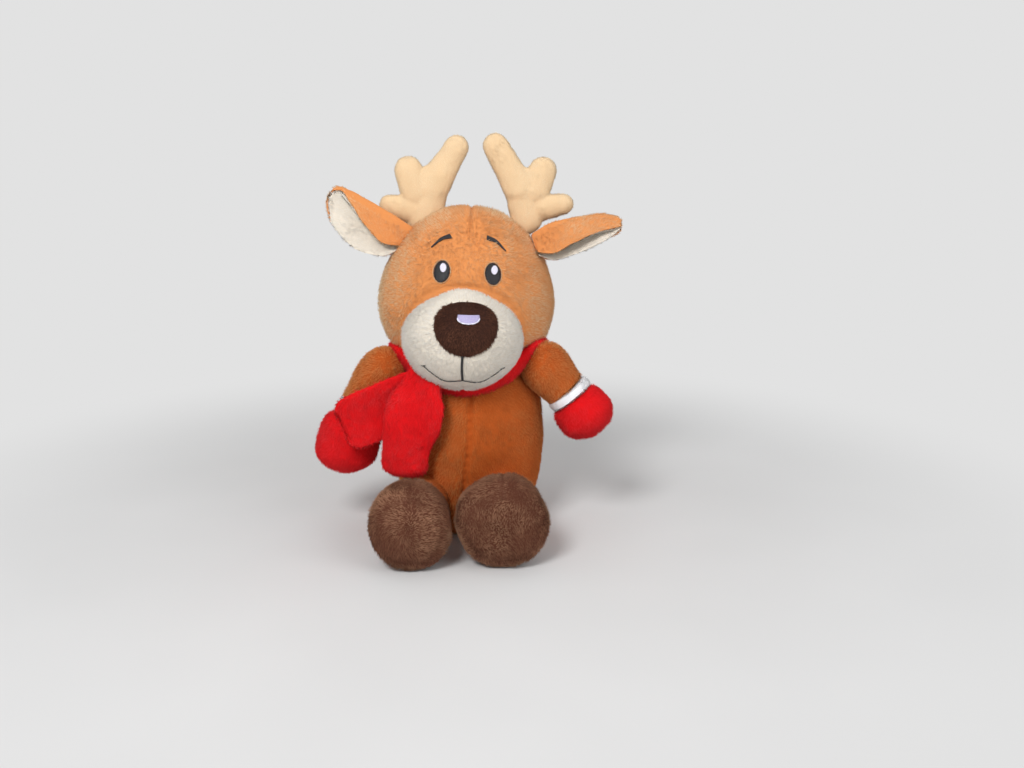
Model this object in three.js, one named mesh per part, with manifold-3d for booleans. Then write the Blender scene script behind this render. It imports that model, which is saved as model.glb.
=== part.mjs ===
// Seated plush deer: a stuffed head, torso, arms and legs, with soft antlers and ears, embroidered
// eyes, brows and mouth, mittens with fleece cuffs, dark hooves with sewn soles, and a scarf.
// Millimetres, Z up. The origin is the middle of the seat on the floor, and the toy faces -Y.
// Left and right are the toy's own, so its left side is at +X.

import * as THREE from 'three';
import { mergeVertices } from 'three/addons/utils/BufferGeometryUtils.js';
import Module from 'manifold-3d';

const wasm = await Module();
wasm.setup();

// Fits
const seamGap = 0.3; // between two pieces that are sewn or pressed together
const swingRoom = 0.5; // beside a piece that swings
const coverThickness = 2; // cover fabric with its backing
const floorCut = 0.5; // how deep a resting place is cut flat
const overrun = 40; // how far a cutting solid runs past what it cuts

// Torso
const torsoWidth = 92;
const torsoDepth = 78;
const torsoHeight = 112;
const torsoForward = 3; // how far the belly lies in front of the seat's middle
const neckRadius = 25; // ball of the neck that the head is sewn round
const neckOpening = 14; // radius of the hole in the covers inside the neck seam
const neckDrop = 28; // from the top of the torso's form down to the neck ball's centre
const pelletBagWidth = 58;
const pelletBagDepth = 50;
const pelletBagHeight = 22;

// Head
const headWidth = 105;
const headDepth = 96;
const headHeight = 106;
const headSink = 26; // how far the head sits down over the top of the torso's form
const headBack = 6; // how far the head's middle lies behind the seat's middle
const headRoll = 3; // degrees, top towards the toy's left
const headYaw = 1.5; // degrees, face towards the toy's left

// Muzzle, nose and embroidery
const muzzleWidth = 69;
const muzzleDepth = 64;
const muzzleHeight = 58;
const muzzleForward = 42; // from the head's middle to the muzzle's middle
const muzzleDrop = 17;
const noseWidth = 34;
const noseDepth = 13;
const noseHeight = 28;
const noseDrop = 5.2; // from the level of the head's middle
const glintWidth = 12;
const glintHeight = 4;
const threadThickness = 0.7; // how far embroidery stands up
const threadWidth = 1.3;
const eyeWidth = 9.5;
const eyeHeight = 12.3;
const eyeSpacing = 28.6;
const eyeLift = 21.6;
const eyeGlintRadius = 1.9;
const browLength = 13.6;
const browWidth = 2;
const mouthWidth = 45;
const mouthDrop = 34.7;

// Ears
const earLength = 52;
const earWidth = 28;
const earBackThickness = 3.2;
const earLiningThickness = 1.8;
const earCup = 7; // how far the rim stands forward of the middle
const earRootRadius = 7;
const earSpread = 41; // from the head's middle plane to the root
const earLift = 30;
const earForward = 9;
const leftEarRaise = 12; // degrees above level
const leftEarTwist = 48; // degrees, opening turned up
const rightEarRaise = 33;
const rightEarTwist = 4;

// Antlers
const antlerHeight = 53; // from the root to the tip of the beam
const antlerRootRadius = 10;
const palmRootThickness = 20;
const palmTipThickness = 29;
const beamRootThickness = 23;
const beamTipThickness = 12;
const tineRootThickness = 24;
const tineTipThickness = 14;
const lowTineRootThickness = 20;
const lowTineTipThickness = 11.5;
const antlerSpread = 28;
const antlerLift = 43.5;
const antlerBack = 5;

// Arms
const armLength = 78; // from the shoulder seam to the tip of the mitten
const sleeveThickness = 28;
const shoulderRadius = 12;
const shoulderSink = 7.5; // how far the shoulder's centre lies inside the torso's widest section
const shoulderDrop = 17; // below the top of the torso's form
const shoulderForward = 14;
const cuffWidth = 7.5; // along the arm
const cuffThickness = 31;
const mittenWidth = 37.5;
const mittenThickness = 30;

// Legs
const hipSpread = 23;
const hipForward = 22;
const hipHeight = 24;
const legThickness = 32;
const legLength = 26; // from the hip to the ankle seam
const hoofDepth = 37;
const hoofHeight = 57;
const leftHoofWidth = 51;
const rightHoofWidth = 46;
const leftHoofCentre = 22; // from the middle plane
const rightHoofCentre = 28.4;
const soleThickness = 4;

// Scarf
const scarfWidth = 33;
const scarfThickness = 4.8;
const scarfFold = 1.6;
const bandHeight = 12;
const bandThickness = 6.5;
const frontTailLength = 49;
const sideTailLength = 43;

// Tail
const tailLength = 19;
const tailWidth = 16;
const tailThickness = 13;
const tailHeight = 24; // of the root above the floor
const tailRootRadius = 6.5;
const tailRise = THREE.MathUtils.degToRad(35);

// Swings, in degrees from the pose modelled here
const nodSwing = [-9, 9];
const armSwing = [-4, 0, 15, 30];
const legSwing = [0, 6, 12, 18, 24];
const earSwing = [-20, -10, 0, 10, 20];
const antlerSwing = [-12, 0, 12];
const tailSwing = [-20, -10, 0, 10, 20];

// How much larger a coarse ball has to be so that its faces stay outside the true one
function growthOf(facets) {
  return 1 / Math.cos(Math.PI / facets) ** 2;
}

// Facet counts. Cutting forms are coarse, and so they are grown until they hold the finer form.
const torsoSides = 20;
const headSides = 22;
const muzzleSides = 18;
const hoofSides = 18;
const noseSides = 16;
const neckSides = 16;
const limbSides = 12;
const insideSides = 12;
const socketSides = 14;
const smallSides = 10;
const cutterSides = 16;
const turningSides = 24;
const stripSides = 20;
const bandSteps = 20;
const bandSides = 8;
const curveSteps = 5;
const cutterGrowth = growthOf(cutterSides);
const ballRowShare = 0.6; // rows of a ball's faces as a share of its facets

// Shares of the torso's height, and the swell of its section there
const torsoHeightShares = [0, 0.004, 0.03, 0.1, 0.22, 0.36, 0.52, 0.67, 0.79, 0.87, 0.94, 0.985, 1];
const torsoSwellShares = [0, 0.52, 0.68, 0.8, 0.9, 0.975, 1, 0.975, 0.9, 0.79, 0.6, 0.36, 0];

// The inside's widest section as a share of the torso's
const insideShare = 0.92;

// The cheeks: how low they lie and how far they reach as shares of half the head's height, and how much
// they widen and flatten the head
const cheekLevelShare = 0.3;
const cheekReachShare = 0.7;
const cheekSwellShare = 0.03;
const cheekFlatShare = 0.02;

// How much the muzzle narrows towards its top, how much the nose widens there, and how deep it is sunk
const muzzleNarrowShare = 0.1;
const noseWidenShare = 0.1;
const noseSinkShare = 0.1;

// Embroidery. A highlight's place is in shares of the width and height of what carries it. A brow starts at
// shares of the eyes' spacing and height, and its bend and outer end are in shares of its length. The
// mouth's bend and corner are in shares of its width.
const eyeGlintPlaceShares = [0.125, 0.167];
const noseGlintPlaceShares = [0.035, 0.2];
const browPlaceShares = [0.35, 1.6];
const browLineShares = [[0.5, -0.05], [0.83, -0.52]];
const browSwellShares = [0.64, 0.83, 0.96, 1, 0.96, 0.83, 0.64];
const mouthLineShares = [[0.25, -0.083], [0.5, 0.2]];
const mouthSwellShares = [1, 1, 1, 1, 1, 1, 1];

// Shares of the arm's length, outward, backward and upward from the shoulder
const leftArmShares = [
  [0, 0, 0], [0.128, 0, 0.058], [0.237, -0.005, -0.04], [0.282, -0.015, -0.13],
  [0.32, -0.03, -0.21], [0.385, -0.06, -0.335], [0.475, -0.105, -0.495],
];
const rightArmShares = [
  [0, 0, 0], [0.115, 0, 0.026], [0.205, 0, -0.051], [0.282, 0, -0.192],
  [0.353, 0, -0.314], [0.423, 0, -0.513], [0.5, 0, -0.795],
];
const cuffPlaceShare = 0.535;
const cuffShares = [0, 0.25, 0.75, 1];
const cuffSwellShares = [0.92, 1, 1, 0.92];
const sleevePlaceShares = [0, 0.06, 0.2, 0.45, 0.75, 1];
const sleeveSwellShares = [0, 0.72, 0.96, 1.03, 1.02, 0.95];
const mittenPlaceShares = [0, 0.12, 0.32, 0.55, 0.75, 0.9, 0.975, 1];
const mittenSwellShares = [0.74, 0.86, 0.98, 1, 0.92, 0.7, 0.4, 0];

// Shares of a hoof's depth, and the swell of its section there
const hoofPlaceShares = [0, 0.06, 0.2, 0.42, 0.66, 0.84, 0.95, 1];
const hoofSwellShares = [0.42, 0.62, 0.83, 0.96, 1, 0.99, 0.96, 0.9];
const solePlaceShares = [0, 0.35, 0.75, 1];
const soleSwellShares = [0.88, 0.87, 0.72, 0];

// Shares of an ear's length, and the swell of its width there
const earPlaceShares = [0, 0.1, 0.28, 0.48, 0.68, 0.84, 0.95, 1];
const earSwellShares = [0.42, 0.68, 0.92, 1, 0.9, 0.66, 0.36, 0];
const earSquareShare = 0.75;
const earCupShare = 0.25; // of half a turn, by which the cup is ahead at the root
const earLiningShare = 0.9; // the lining's size as a share of the back's

// Shares of a scarf tail's length, and how far its rounded ends draw in there as shares of its thickness
const scarfPlaceShares = [0, 0.04, 0.25, 0.5, 0.75, 0.96, 1];
const scarfEdgeShares = [0.3, 0, 0, 0, 0, 0, 0.3];
const scarfSquareShare = 0.45;

// The lines of the scarf's tails, as shares of their lengths to the side, backward and upward
const frontTailShares = [[0, 0, 0], [0.05, -0.06, -0.22], [0.01, -0.08, -0.6], [-0.04, -0.06, -1]];
const sideTailShares = [[0, 0, 0], [-0.4, 0, -0.22], [-0.86, -0.03, -0.5]];

// Where the front tail starts, as shares of the torso's width and height, and the ways across both tails
const frontTailPlaceShares = [0.32, 0.89];
const frontTailAcrossShares = [1, -0.25, 0];
const sideTailAcrossShares = [0.5, 0, 0.9];

// Shares of the tail's length behind its root, and the swell of its section there
const tailPlaceShares = [0.35, 0.6, 0.8, 0.94, 1];
const tailSwellShares = [0.95, 1, 0.8, 0.45, 0];

// An antler's limbs. Shares are of the antler's height, inward and upward from its root; flatShare is
// the depth as a share of the width.
const antlerLimbs = [
  {
    fromShare: [0, 0], toShare: [0.02, 0.7],
    rootThickness: palmRootThickness, tipThickness: palmTipThickness, flatShare: 0.5,
  },
  {
    fromShare: [0.02, 0.28], toShare: [0.41, 0.99],
    rootThickness: beamRootThickness, tipThickness: beamTipThickness, flatShare: 0.66,
  },
  {
    fromShare: [0.05, 0.2], toShare: [-0.32, 0.73],
    rootThickness: tineRootThickness, tipThickness: tineTipThickness, flatShare: 0.62,
  },
  {
    fromShare: [0.08, 0.09], toShare: [-0.57, 0.26],
    rootThickness: lowTineRootThickness, tipThickness: lowTineTipThickness, flatShare: 0.7,
  },
];

// Tables for mirrored pieces
const sides = [
  {
    name: 'left', sign: 1, armShares: leftArmShares, hoofWidth: leftHoofWidth, hoofCentre: leftHoofCentre,
    earRaise: leftEarRaise, earTwist: leftEarTwist,
  },
  {
    name: 'right', sign: -1, armShares: rightArmShares, hoofWidth: rightHoofWidth,
    hoofCentre: rightHoofCentre, earRaise: rightEarRaise, earTwist: rightEarTwist,
  },
];

// Axes
const xAxis = new THREE.Vector3(1, 0, 0);
const yAxis = new THREE.Vector3(0, 1, 0);
const zAxis = new THREE.Vector3(0, 0, 1);
const origin = new THREE.Vector3();

// Main places
const neckPivot = new THREE.Vector3(0, torsoForward, torsoHeight - neckDrop);
const headCentre = new THREE.Vector3(0, headBack, torsoHeight - headSink + headHeight / 2);
const headFrame = new THREE.Matrix4()
  .makeTranslation(headCentre.x, headCentre.y, headCentre.z)
  .multiply(new THREE.Matrix4().makeRotationY(THREE.MathUtils.degToRad(headRoll)))
  .multiply(new THREE.Matrix4().makeRotationZ(THREE.MathUtils.degToRad(headYaw)));

// Solids and meshes

function toSolid(geometry) {
  const bare = geometry.clone();
  const fromThree = Boolean(bare.attributes.uv);
  bare.deleteAttribute('normal');
  bare.deleteAttribute('uv');
  const closed = fromThree ? mergeVertices(bare) : bare;
  return new wasm.Manifold(new wasm.Mesh({
    numProp: 3,
    vertProperties: new Float32Array(closed.attributes.position.array),
    triVerts: new Uint32Array(closed.index.array),
  }));
}

function toGeometry(solid) {
  const mesh = solid.getMesh();
  const geometry = new THREE.BufferGeometry();
  geometry.setAttribute('position', new THREE.BufferAttribute(new Float32Array(mesh.vertProperties), 3));
  geometry.setIndex(new THREE.BufferAttribute(new Uint32Array(mesh.triVerts), 1));
  return geometry;
}

function join(solids) {
  return solids.reduce((sum, solid) => sum.add(solid));
}

function cut(solid, tools) {
  return tools.reduce((rest, tool) => rest.subtract(tool), solid);
}

function turnMatrix(pivot, axis, degrees) {
  return new THREE.Matrix4()
    .makeTranslation(pivot.x, pivot.y, pivot.z)
    .multiply(new THREE.Matrix4().makeRotationAxis(axis, THREE.MathUtils.degToRad(degrees)))
    .multiply(new THREE.Matrix4().makeTranslation(-pivot.x, -pivot.y, -pivot.z));
}

// The space that a solid passes through as it swings
function swept(solid, pivot, axis, swing) {
  const geometry = toGeometry(solid);
  return join(swing.map((degrees) => {
    const copy = geometry.clone();
    return toSolid(copy.applyMatrix4(turnMatrix(pivot, axis, degrees)));
  }));
}

// What has to be taken off a swinging piece so that it clears a fixed one at every angle
function sweptBack(solid, pivot, axis, swing) {
  return swept(solid, pivot, axis, swing.map((degrees) => -degrees));
}

// An oval ball with its poles up and down; shape moves each point of the unit sphere before it is scaled
function ball({ centre = origin, width, depth, height, facets = smallSides, shape = (point) => point }) {
  const geometry = new THREE.SphereGeometry(1, facets, Math.round(facets * ballRowShare));
  geometry.rotateX(Math.PI / 2);
  const positions = geometry.attributes.position;
  const point = new THREE.Vector3();
  for (let i = 0; i < positions.count; i += 1) {
    point.fromBufferAttribute(positions, i);
    shape(point);
    positions.setXYZ(
      i,
      centre.x + point.x * width / 2,
      centre.y + point.y * depth / 2,
      centre.z + point.z * height / 2,
    );
  }
  return geometry;
}

function rootBall(centre, radius, facets = smallSides) {
  return toSolid(ball({ centre, width: 2 * radius, depth: 2 * radius, height: 2 * radius, facets }));
}

// A ball that holds the true ball of this radius inside its faces
function socketBall(centre, radius, facets = socketSides) {
  return rootBall(centre, radius * growthOf(facets), facets);
}

// Oval rings threaded on a spine. A ring is a place along the spine with half a width and half a depth;
// across is the direction of the width. Rings of no width close in a point, others in a flat end.
// A low roundShare squares the section, and sag moves a point along the depth by its place in the width.
function loft({ spine, across, rings, facets, roundShare = 1, sag = () => 0 }) {
  const points = [];
  const faces = [];
  const closedStart = rings[0].halfWidth > 0;
  const closedEnd = rings[rings.length - 1].halfWidth > 0;
  const solidRings = rings.filter((ring) => ring.halfWidth > 0);
  for (const ring of solidRings) {
    const middle = spine.getPointAt(ring.at);
    const tangent = spine.getTangentAt(ring.at);
    const wide = across.clone().addScaledVector(tangent, -across.dot(tangent)).normalize();
    const deep = tangent.clone().cross(wide);
    for (let i = 0; i < facets; i += 1) {
      const angle = (i / facets) * 2 * Math.PI;
      const cosine = Math.sign(Math.cos(angle)) * Math.abs(Math.cos(angle)) ** roundShare;
      const sine = Math.sign(Math.sin(angle)) * Math.abs(Math.sin(angle)) ** roundShare;
      points.push(middle.clone()
        .addScaledVector(wide, ring.halfWidth * cosine)
        .addScaledVector(deep, ring.halfDepth * sine + sag(cosine, ring.at)));
    }
  }
  for (let ring = 0; ring < solidRings.length - 1; ring += 1) {
    for (let i = 0; i < facets; i += 1) {
      const a = ring * facets + i;
      const b = ring * facets + (i + 1) % facets;
      faces.push(a, b, a + facets, b, b + facets, a + facets);
    }
  }
  const startPoint = points.length;
  points.push(endMiddle(spine, rings[0], closedStart, points.slice(0, facets)));
  const endPoint = points.length;
  const lastRing = (solidRings.length - 1) * facets;
  const end = rings[rings.length - 1];
  points.push(endMiddle(spine, end, closedEnd, points.slice(lastRing, lastRing + facets)));
  for (let i = 0; i < facets; i += 1) {
    const next = (i + 1) % facets;
    faces.push(startPoint, next, i);
    faces.push(endPoint, lastRing + i, lastRing + next);
  }
  const geometry = new THREE.BufferGeometry();
  geometry.setFromPoints(points);
  geometry.setIndex(faces);
  return geometry;
}

// The point that closes an end: the tip of the spine, or the middle of a flat end
function endMiddle(spine, ring, flat, rim) {
  if (!flat) {
    return spine.getPointAt(ring.at);
  }
  const middle = rim.reduce((sum, point) => sum.add(point), new THREE.Vector3());
  return middle.divideScalar(rim.length);
}

// Rings from two tables of shares, between two places on the spine
function ringsBetween({ from, to, places, swells, width, depth }) {
  return places.map((place, i) => ({
    at: THREE.MathUtils.lerp(from, to, place),
    halfWidth: swells[i] * width / 2,
    halfDepth: swells[i] * depth / 2,
  }));
}

// Places along a half round end, and its radius there, as shares of the end's own radius
const roundEndShares = [0, 0.15, 0.5, 1];

function roundHalf(along) {
  return Math.sqrt(1 - (1 - along) ** 2);
}

// Rings of a half round end at the start of a spine of this length
function halfRoundRings(radius, length) {
  return roundEndShares.map((along) => ({
    at: along * radius / length,
    halfWidth: roundHalf(along) * radius,
    halfDepth: roundHalf(along) * radius,
  }));
}

// A stuffed tube of one thickness at its root and one at its tip, with half round ends
function stuffedTube({ from, to, rootThickness, tipThickness, flatShare, across, facets = smallSides }) {
  const spine = new THREE.LineCurve3(from, to);
  const length = from.distanceTo(to);
  const rings = [];
  for (const along of roundEndShares) {
    rings.push({ place: along * rootThickness / 2, half: roundHalf(along) * rootThickness / 2 });
  }
  for (const along of [...roundEndShares].reverse()) {
    rings.push({ place: length - along * tipThickness / 2, half: roundHalf(along) * tipThickness / 2 });
  }
  return loft({
    spine,
    across,
    facets,
    rings: rings.map(({ place, half }) => ({
      at: place / length,
      halfWidth: half,
      halfDepth: half * flatShare,
    })),
  });
}

// Torso

function torsoForm(grow, facets = torsoSides) {
  const spine = new THREE.LineCurve3(
    new THREE.Vector3(0, -torsoForward, -floorCut - grow),
    new THREE.Vector3(0, -torsoForward, torsoHeight + grow),
  );
  const rings = torsoHeightShares.map((at, i) => ({
    at,
    halfWidth: torsoSwellShares[i] * (torsoWidth / 2 + grow),
    halfDepth: torsoSwellShares[i] * (torsoDepth / 2 + grow),
  }));
  return toSolid(loft({ spine, across: xAxis, rings, facets }));
}

// Everything below the floor
function belowFloor() {
  const span = 4 * torsoWidth;
  const block = new THREE.BoxGeometry(span, span, overrun);
  block.translate(0, 0, -overrun / 2);
  return toSolid(block);
}

// The hole through both covers inside the neck seam
function neckHole() {
  const hole = new THREE.CylinderGeometry(neckOpening, neckOpening, 2 * neckRadius, smallSides);
  hole.rotateX(Math.PI / 2);
  hole.translate(neckPivot.x, neckPivot.y, neckPivot.z + neckRadius);
  return toSolid(hole);
}

// Head and muzzle

function swellCheeks(point) {
  const low = Math.max(0, 1 - ((point.z + cheekLevelShare) / cheekReachShare) ** 2);
  point.x *= 1 + cheekSwellShare * low;
  point.y *= 1 - cheekFlatShare * low;
  return point;
}

function headForm(grow, facets = headSides) {
  const geometry = ball({
    width: headWidth + 2 * grow,
    depth: headDepth + 2 * grow,
    height: headHeight + 2 * grow,
    facets,
    shape: swellCheeks,
  });
  return toSolid(geometry.applyMatrix4(headFrame));
}

function narrowTop(point) {
  point.x *= 1 - muzzleNarrowShare * Math.max(0, point.z) ** 2;
  return point;
}

function muzzleForm(grow, facets = muzzleSides) {
  const geometry = ball({
    centre: new THREE.Vector3(0, -muzzleForward, -muzzleDrop),
    width: muzzleWidth + 2 * grow,
    depth: muzzleDepth + 2 * grow,
    height: muzzleHeight + 2 * grow,
    facets,
    shape: narrowTop,
  });
  return toSolid(geometry.applyMatrix4(headFrame));
}

// Nose

function widenTop(point) {
  point.x *= 1 + noseWidenShare * point.z;
  return point;
}

// How far the nose's middle lies in front of the head's, a little inside the muzzle's surface
function noseForward() {
  const rise = muzzleDrop - noseDrop;
  const reach = Math.sqrt(1 - (2 * rise / muzzleHeight) ** 2) * muzzleDepth / 2;
  return muzzleForward + reach - noseSinkShare * noseDepth;
}

function noseForm(grow) {
  const geometry = ball({
    centre: new THREE.Vector3(0, -noseForward(), -noseDrop),
    width: noseWidth + 2 * grow,
    depth: noseDepth + 2 * grow,
    height: noseHeight + 2 * grow,
    facets: noseSides,
    shape: widenTop,
  });
  return toSolid(geometry.applyMatrix4(headFrame));
}

// Embroidery: an outline drawn on the front of the head, raised to the thickness of its thread.
// below and above are the form that carries it, grown to the underside and the top of the thread, and
// forward is how far that form's middle lies in front of the head's.
function embroider(shape, below, above, forward = 0) {
  const geometry = new THREE.ExtrudeGeometry(shape, {
    depth: overrun + headDepth / 2,
    bevelEnabled: false,
    curveSegments: curveSteps,
  });
  geometry.rotateX(Math.PI / 2);
  geometry.translate(0, -forward, 0);
  geometry.applyMatrix4(headFrame);
  return toSolid(geometry).intersect(above).subtract(below);
}

function ovalShape(x, z, width, height) {
  const shape = new THREE.Shape();
  shape.absellipse(x, z, width / 2, height / 2, 0, 2 * Math.PI);
  return shape;
}

// A stroke of thread along a curve, with its width's shares at even steps
function strokeShape(curve, width, swellShares) {
  const upper = [];
  const lower = [];
  for (let i = 0; i < swellShares.length; i += 1) {
    const at = i / (swellShares.length - 1);
    const point = curve.getPoint(at);
    const tangent = curve.getTangent(at);
    const half = swellShares[i] * width / 2;
    upper.push(new THREE.Vector2(point.x - tangent.y * half, point.y + tangent.x * half));
    lower.push(new THREE.Vector2(point.x + tangent.y * half, point.y - tangent.x * half));
  }
  return new THREE.Shape([...upper, ...lower.reverse()]);
}

function eyeShape(side) {
  return ovalShape(side.sign * eyeSpacing / 2, eyeLift, eyeWidth, eyeHeight);
}

function eyeGlintShape(side) {
  const [aside, upward] = eyeGlintPlaceShares;
  const x = side.sign * eyeSpacing / 2 + aside * eyeWidth;
  return ovalShape(x, eyeLift + upward * eyeHeight, 2 * eyeGlintRadius, 2 * eyeGlintRadius);
}

// A curve from a place, through a bend and to an end that lie at shares of a size from it
function curveFrom(start, lineShares, size, sign) {
  const [bend, end] = lineShares.map(([aside, upward]) => new THREE.Vector2(
    start.x + sign * aside * size,
    start.y + upward * size,
  ));
  return new THREE.QuadraticBezierCurve(start, bend, end);
}

function browShape(side) {
  const [aside, upward] = browPlaceShares;
  const inner = new THREE.Vector2(side.sign * aside * eyeSpacing, eyeLift + upward * eyeHeight);
  return strokeShape(curveFrom(inner, browLineShares, browLength, side.sign), browWidth, browSwellShares);
}

function mouthShapes() {
  const top = new THREE.Vector2(0, -noseDrop - noseHeight / 2 - threadWidth);
  const fork = new THREE.Vector2(0, -mouthDrop);
  const strokes = [strokeShape(new THREE.LineCurve(top, fork), threadWidth, mouthSwellShares)];
  for (const side of sides) {
    const curve = curveFrom(fork, mouthLineShares, mouthWidth, side.sign);
    strokes.push(strokeShape(curve, threadWidth, mouthSwellShares));
  }
  return strokes;
}

function glintShape() {
  const [aside, upward] = noseGlintPlaceShares;
  return ovalShape(aside * noseWidth, -noseDrop + upward * noseHeight, glintWidth, glintHeight);
}

// Ears: two cupped layers on one root, built pointing outward and then raised and twisted

function earFrame(side) {
  const place = new THREE.Vector3(side.sign * earSpread, -earForward, earLift);
  const mirror = new THREE.Matrix4().makeScale(side.sign, 1, 1);
  return headFrame.clone()
    .multiply(new THREE.Matrix4().makeTranslation(place.x, place.y, place.z))
    .multiply(mirror)
    .multiply(new THREE.Matrix4().makeRotationY(-THREE.MathUtils.degToRad(side.earRaise)))
    .multiply(new THREE.Matrix4().makeRotationX(THREE.MathUtils.degToRad(side.earTwist)));
}

function earLayer(side, thickness, forward, sizeShare) {
  const spine = new THREE.LineCurve3(
    new THREE.Vector3(0, -forward, 0),
    new THREE.Vector3(earLength * sizeShare, -forward, 0),
  );
  const rings = earPlaceShares.map((at, i) => ({
    at,
    halfWidth: earSwellShares[i] * sizeShare * earWidth / 2,
    halfDepth: Math.sqrt(earSwellShares[i]) * thickness / 2,
  }));
  const geometry = loft({
    spine,
    across: zAxis,
    rings,
    facets: smallSides,
    roundShare: earSquareShare,
    sag: (place, at) => earCup * place ** 2 * Math.sin(Math.PI * Math.min(1, earCupShare + at)),
  });
  geometry.applyMatrix4(earFrame(side));
  return side.sign > 0 ? toSolid(geometry) : toSolid(flipped(geometry));
}

// A mirrored geometry has its faces turned the right way out again
function flipped(geometry) {
  const index = geometry.index.array;
  for (let i = 0; i < index.length; i += 3) {
    [index[i + 1], index[i + 2]] = [index[i + 2], index[i + 1]];
  }
  return geometry;
}

function earPivot(side) {
  return new THREE.Vector3().applyMatrix4(earFrame(side));
}

// Antlers

function antlerPoint(side, inward, upward) {
  return new THREE.Vector3(
    side.sign * (antlerSpread - inward * antlerHeight),
    antlerBack,
    antlerLift + upward * antlerHeight,
  );
}

function antlerForm(side) {
  const limbs = antlerLimbs.map(({ fromShare, toShare, rootThickness, tipThickness, flatShare }) => {
    const from = antlerPoint(side, ...fromShare);
    const to = antlerPoint(side, ...toShare);
    return toSolid(stuffedTube({ from, to, rootThickness, tipThickness, flatShare, across: xAxis }));
  });
  const form = join([rootBall(antlerPoint(side, 0, 0), antlerRootRadius), ...limbs]);
  return toSolid(toGeometry(form).applyMatrix4(headFrame));
}

function antlerPivot(side) {
  return antlerPoint(side, 0, 0).applyMatrix4(headFrame);
}

// Arms

function shoulderPivot(side) {
  return new THREE.Vector3(
    side.sign * (torsoWidth / 2 - shoulderSink),
    -shoulderForward,
    torsoHeight - shoulderDrop,
  );
}

function armSpine(side) {
  const shoulder = shoulderPivot(side);
  const points = side.armShares.map(([outward, backward, upward]) => new THREE.Vector3(
    shoulder.x + side.sign * outward * armLength,
    shoulder.y + backward * armLength,
    shoulder.z + upward * armLength,
  ));
  return new THREE.CatmullRomCurve3(points);
}

// Half the gap and half the cuff, as shares of the arm's spine
function cuffEnds(spine) {
  const length = spine.getLength();
  const half = cuffWidth / 2 / length;
  const gap = seamGap / length;
  return { half, gap };
}

function sleeveForm(side) {
  const spine = armSpine(side);
  const { half, gap } = cuffEnds(spine);
  const rings = ringsBetween({
    from: 0,
    to: cuffPlaceShare - half - gap,
    places: sleevePlaceShares,
    swells: sleeveSwellShares,
    width: sleeveThickness,
    depth: sleeveThickness,
  });
  const sleeve = toSolid(loft({ spine, across: yAxis, rings, facets: limbSides }));
  return sleeve.add(rootBall(shoulderPivot(side), shoulderRadius));
}

function cuffForm(side) {
  const spine = armSpine(side);
  const { half } = cuffEnds(spine);
  const rings = ringsBetween({
    from: cuffPlaceShare - half,
    to: cuffPlaceShare + half,
    places: cuffShares,
    swells: cuffSwellShares,
    width: cuffThickness,
    depth: cuffThickness,
  });
  return toSolid(loft({ spine, across: yAxis, rings, facets: limbSides }));
}

function mittenForm(side) {
  const spine = armSpine(side);
  const { half, gap } = cuffEnds(spine);
  const rings = ringsBetween({
    from: cuffPlaceShare + half + gap,
    to: 1,
    places: mittenPlaceShares,
    swells: mittenSwellShares,
    width: mittenThickness,
    depth: mittenWidth,
  });
  return toSolid(loft({ spine, across: yAxis, rings, facets: limbSides }));
}

// Legs

function hipPivot(side) {
  return new THREE.Vector3(side.sign * hipSpread, -hipForward, hipHeight);
}

function anklePoint(side) {
  return new THREE.Vector3(
    side.sign * side.hoofCentre,
    -hipForward - legLength,
    hoofHeight / 2 - floorCut,
  );
}

// The leg starts in a half round root about the hip, and is cut off square at the ankle seam
function legForm(side) {
  const hip = hipPivot(side);
  const ankle = anklePoint(side);
  const radius = legThickness / 2;
  const direction = ankle.clone().sub(hip).normalize();
  const spine = new THREE.LineCurve3(
    hip.clone().addScaledVector(direction, -radius),
    ankle.clone().addScaledVector(direction, radius / 2),
  );
  const length = spine.getLength();
  const rings = [...halfRoundRings(radius, length), { at: 1, halfWidth: radius, halfDepth: radius }];
  const leg = toSolid(loft({ spine, across: xAxis, rings, facets: limbSides }));
  return leg.subtract(inFrontOf(ankle.y));
}

// Everything in front of a level, near the legs
function inFrontOf(y) {
  const span = 4 * torsoWidth;
  const block = new THREE.BoxGeometry(span, overrun, span);
  block.translate(0, y - overrun / 2, 0);
  return toSolid(block);
}

function hoofRings(side, places, swells) {
  return ringsBetween({ from: 0, to: 1, places, swells, width: side.hoofWidth, depth: hoofHeight });
}

function hoofForm(side) {
  const start = anklePoint(side).add(new THREE.Vector3(0, -seamGap, 0));
  const end = start.clone().add(new THREE.Vector3(0, -hoofDepth, 0));
  const rings = hoofRings(side, hoofPlaceShares, hoofSwellShares);
  return toSolid(loft({ spine: new THREE.LineCurve3(start, end), across: xAxis, rings, facets: hoofSides }));
}

function soleForm(side) {
  const start = anklePoint(side).add(new THREE.Vector3(0, -2 * seamGap - hoofDepth, 0));
  const end = start.clone().add(new THREE.Vector3(0, -soleThickness, 0));
  const rings = hoofRings(side, solePlaceShares, soleSwellShares);
  return toSolid(loft({ spine: new THREE.LineCurve3(start, end), across: xAxis, rings, facets: hoofSides }));
}

// Scarf

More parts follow.
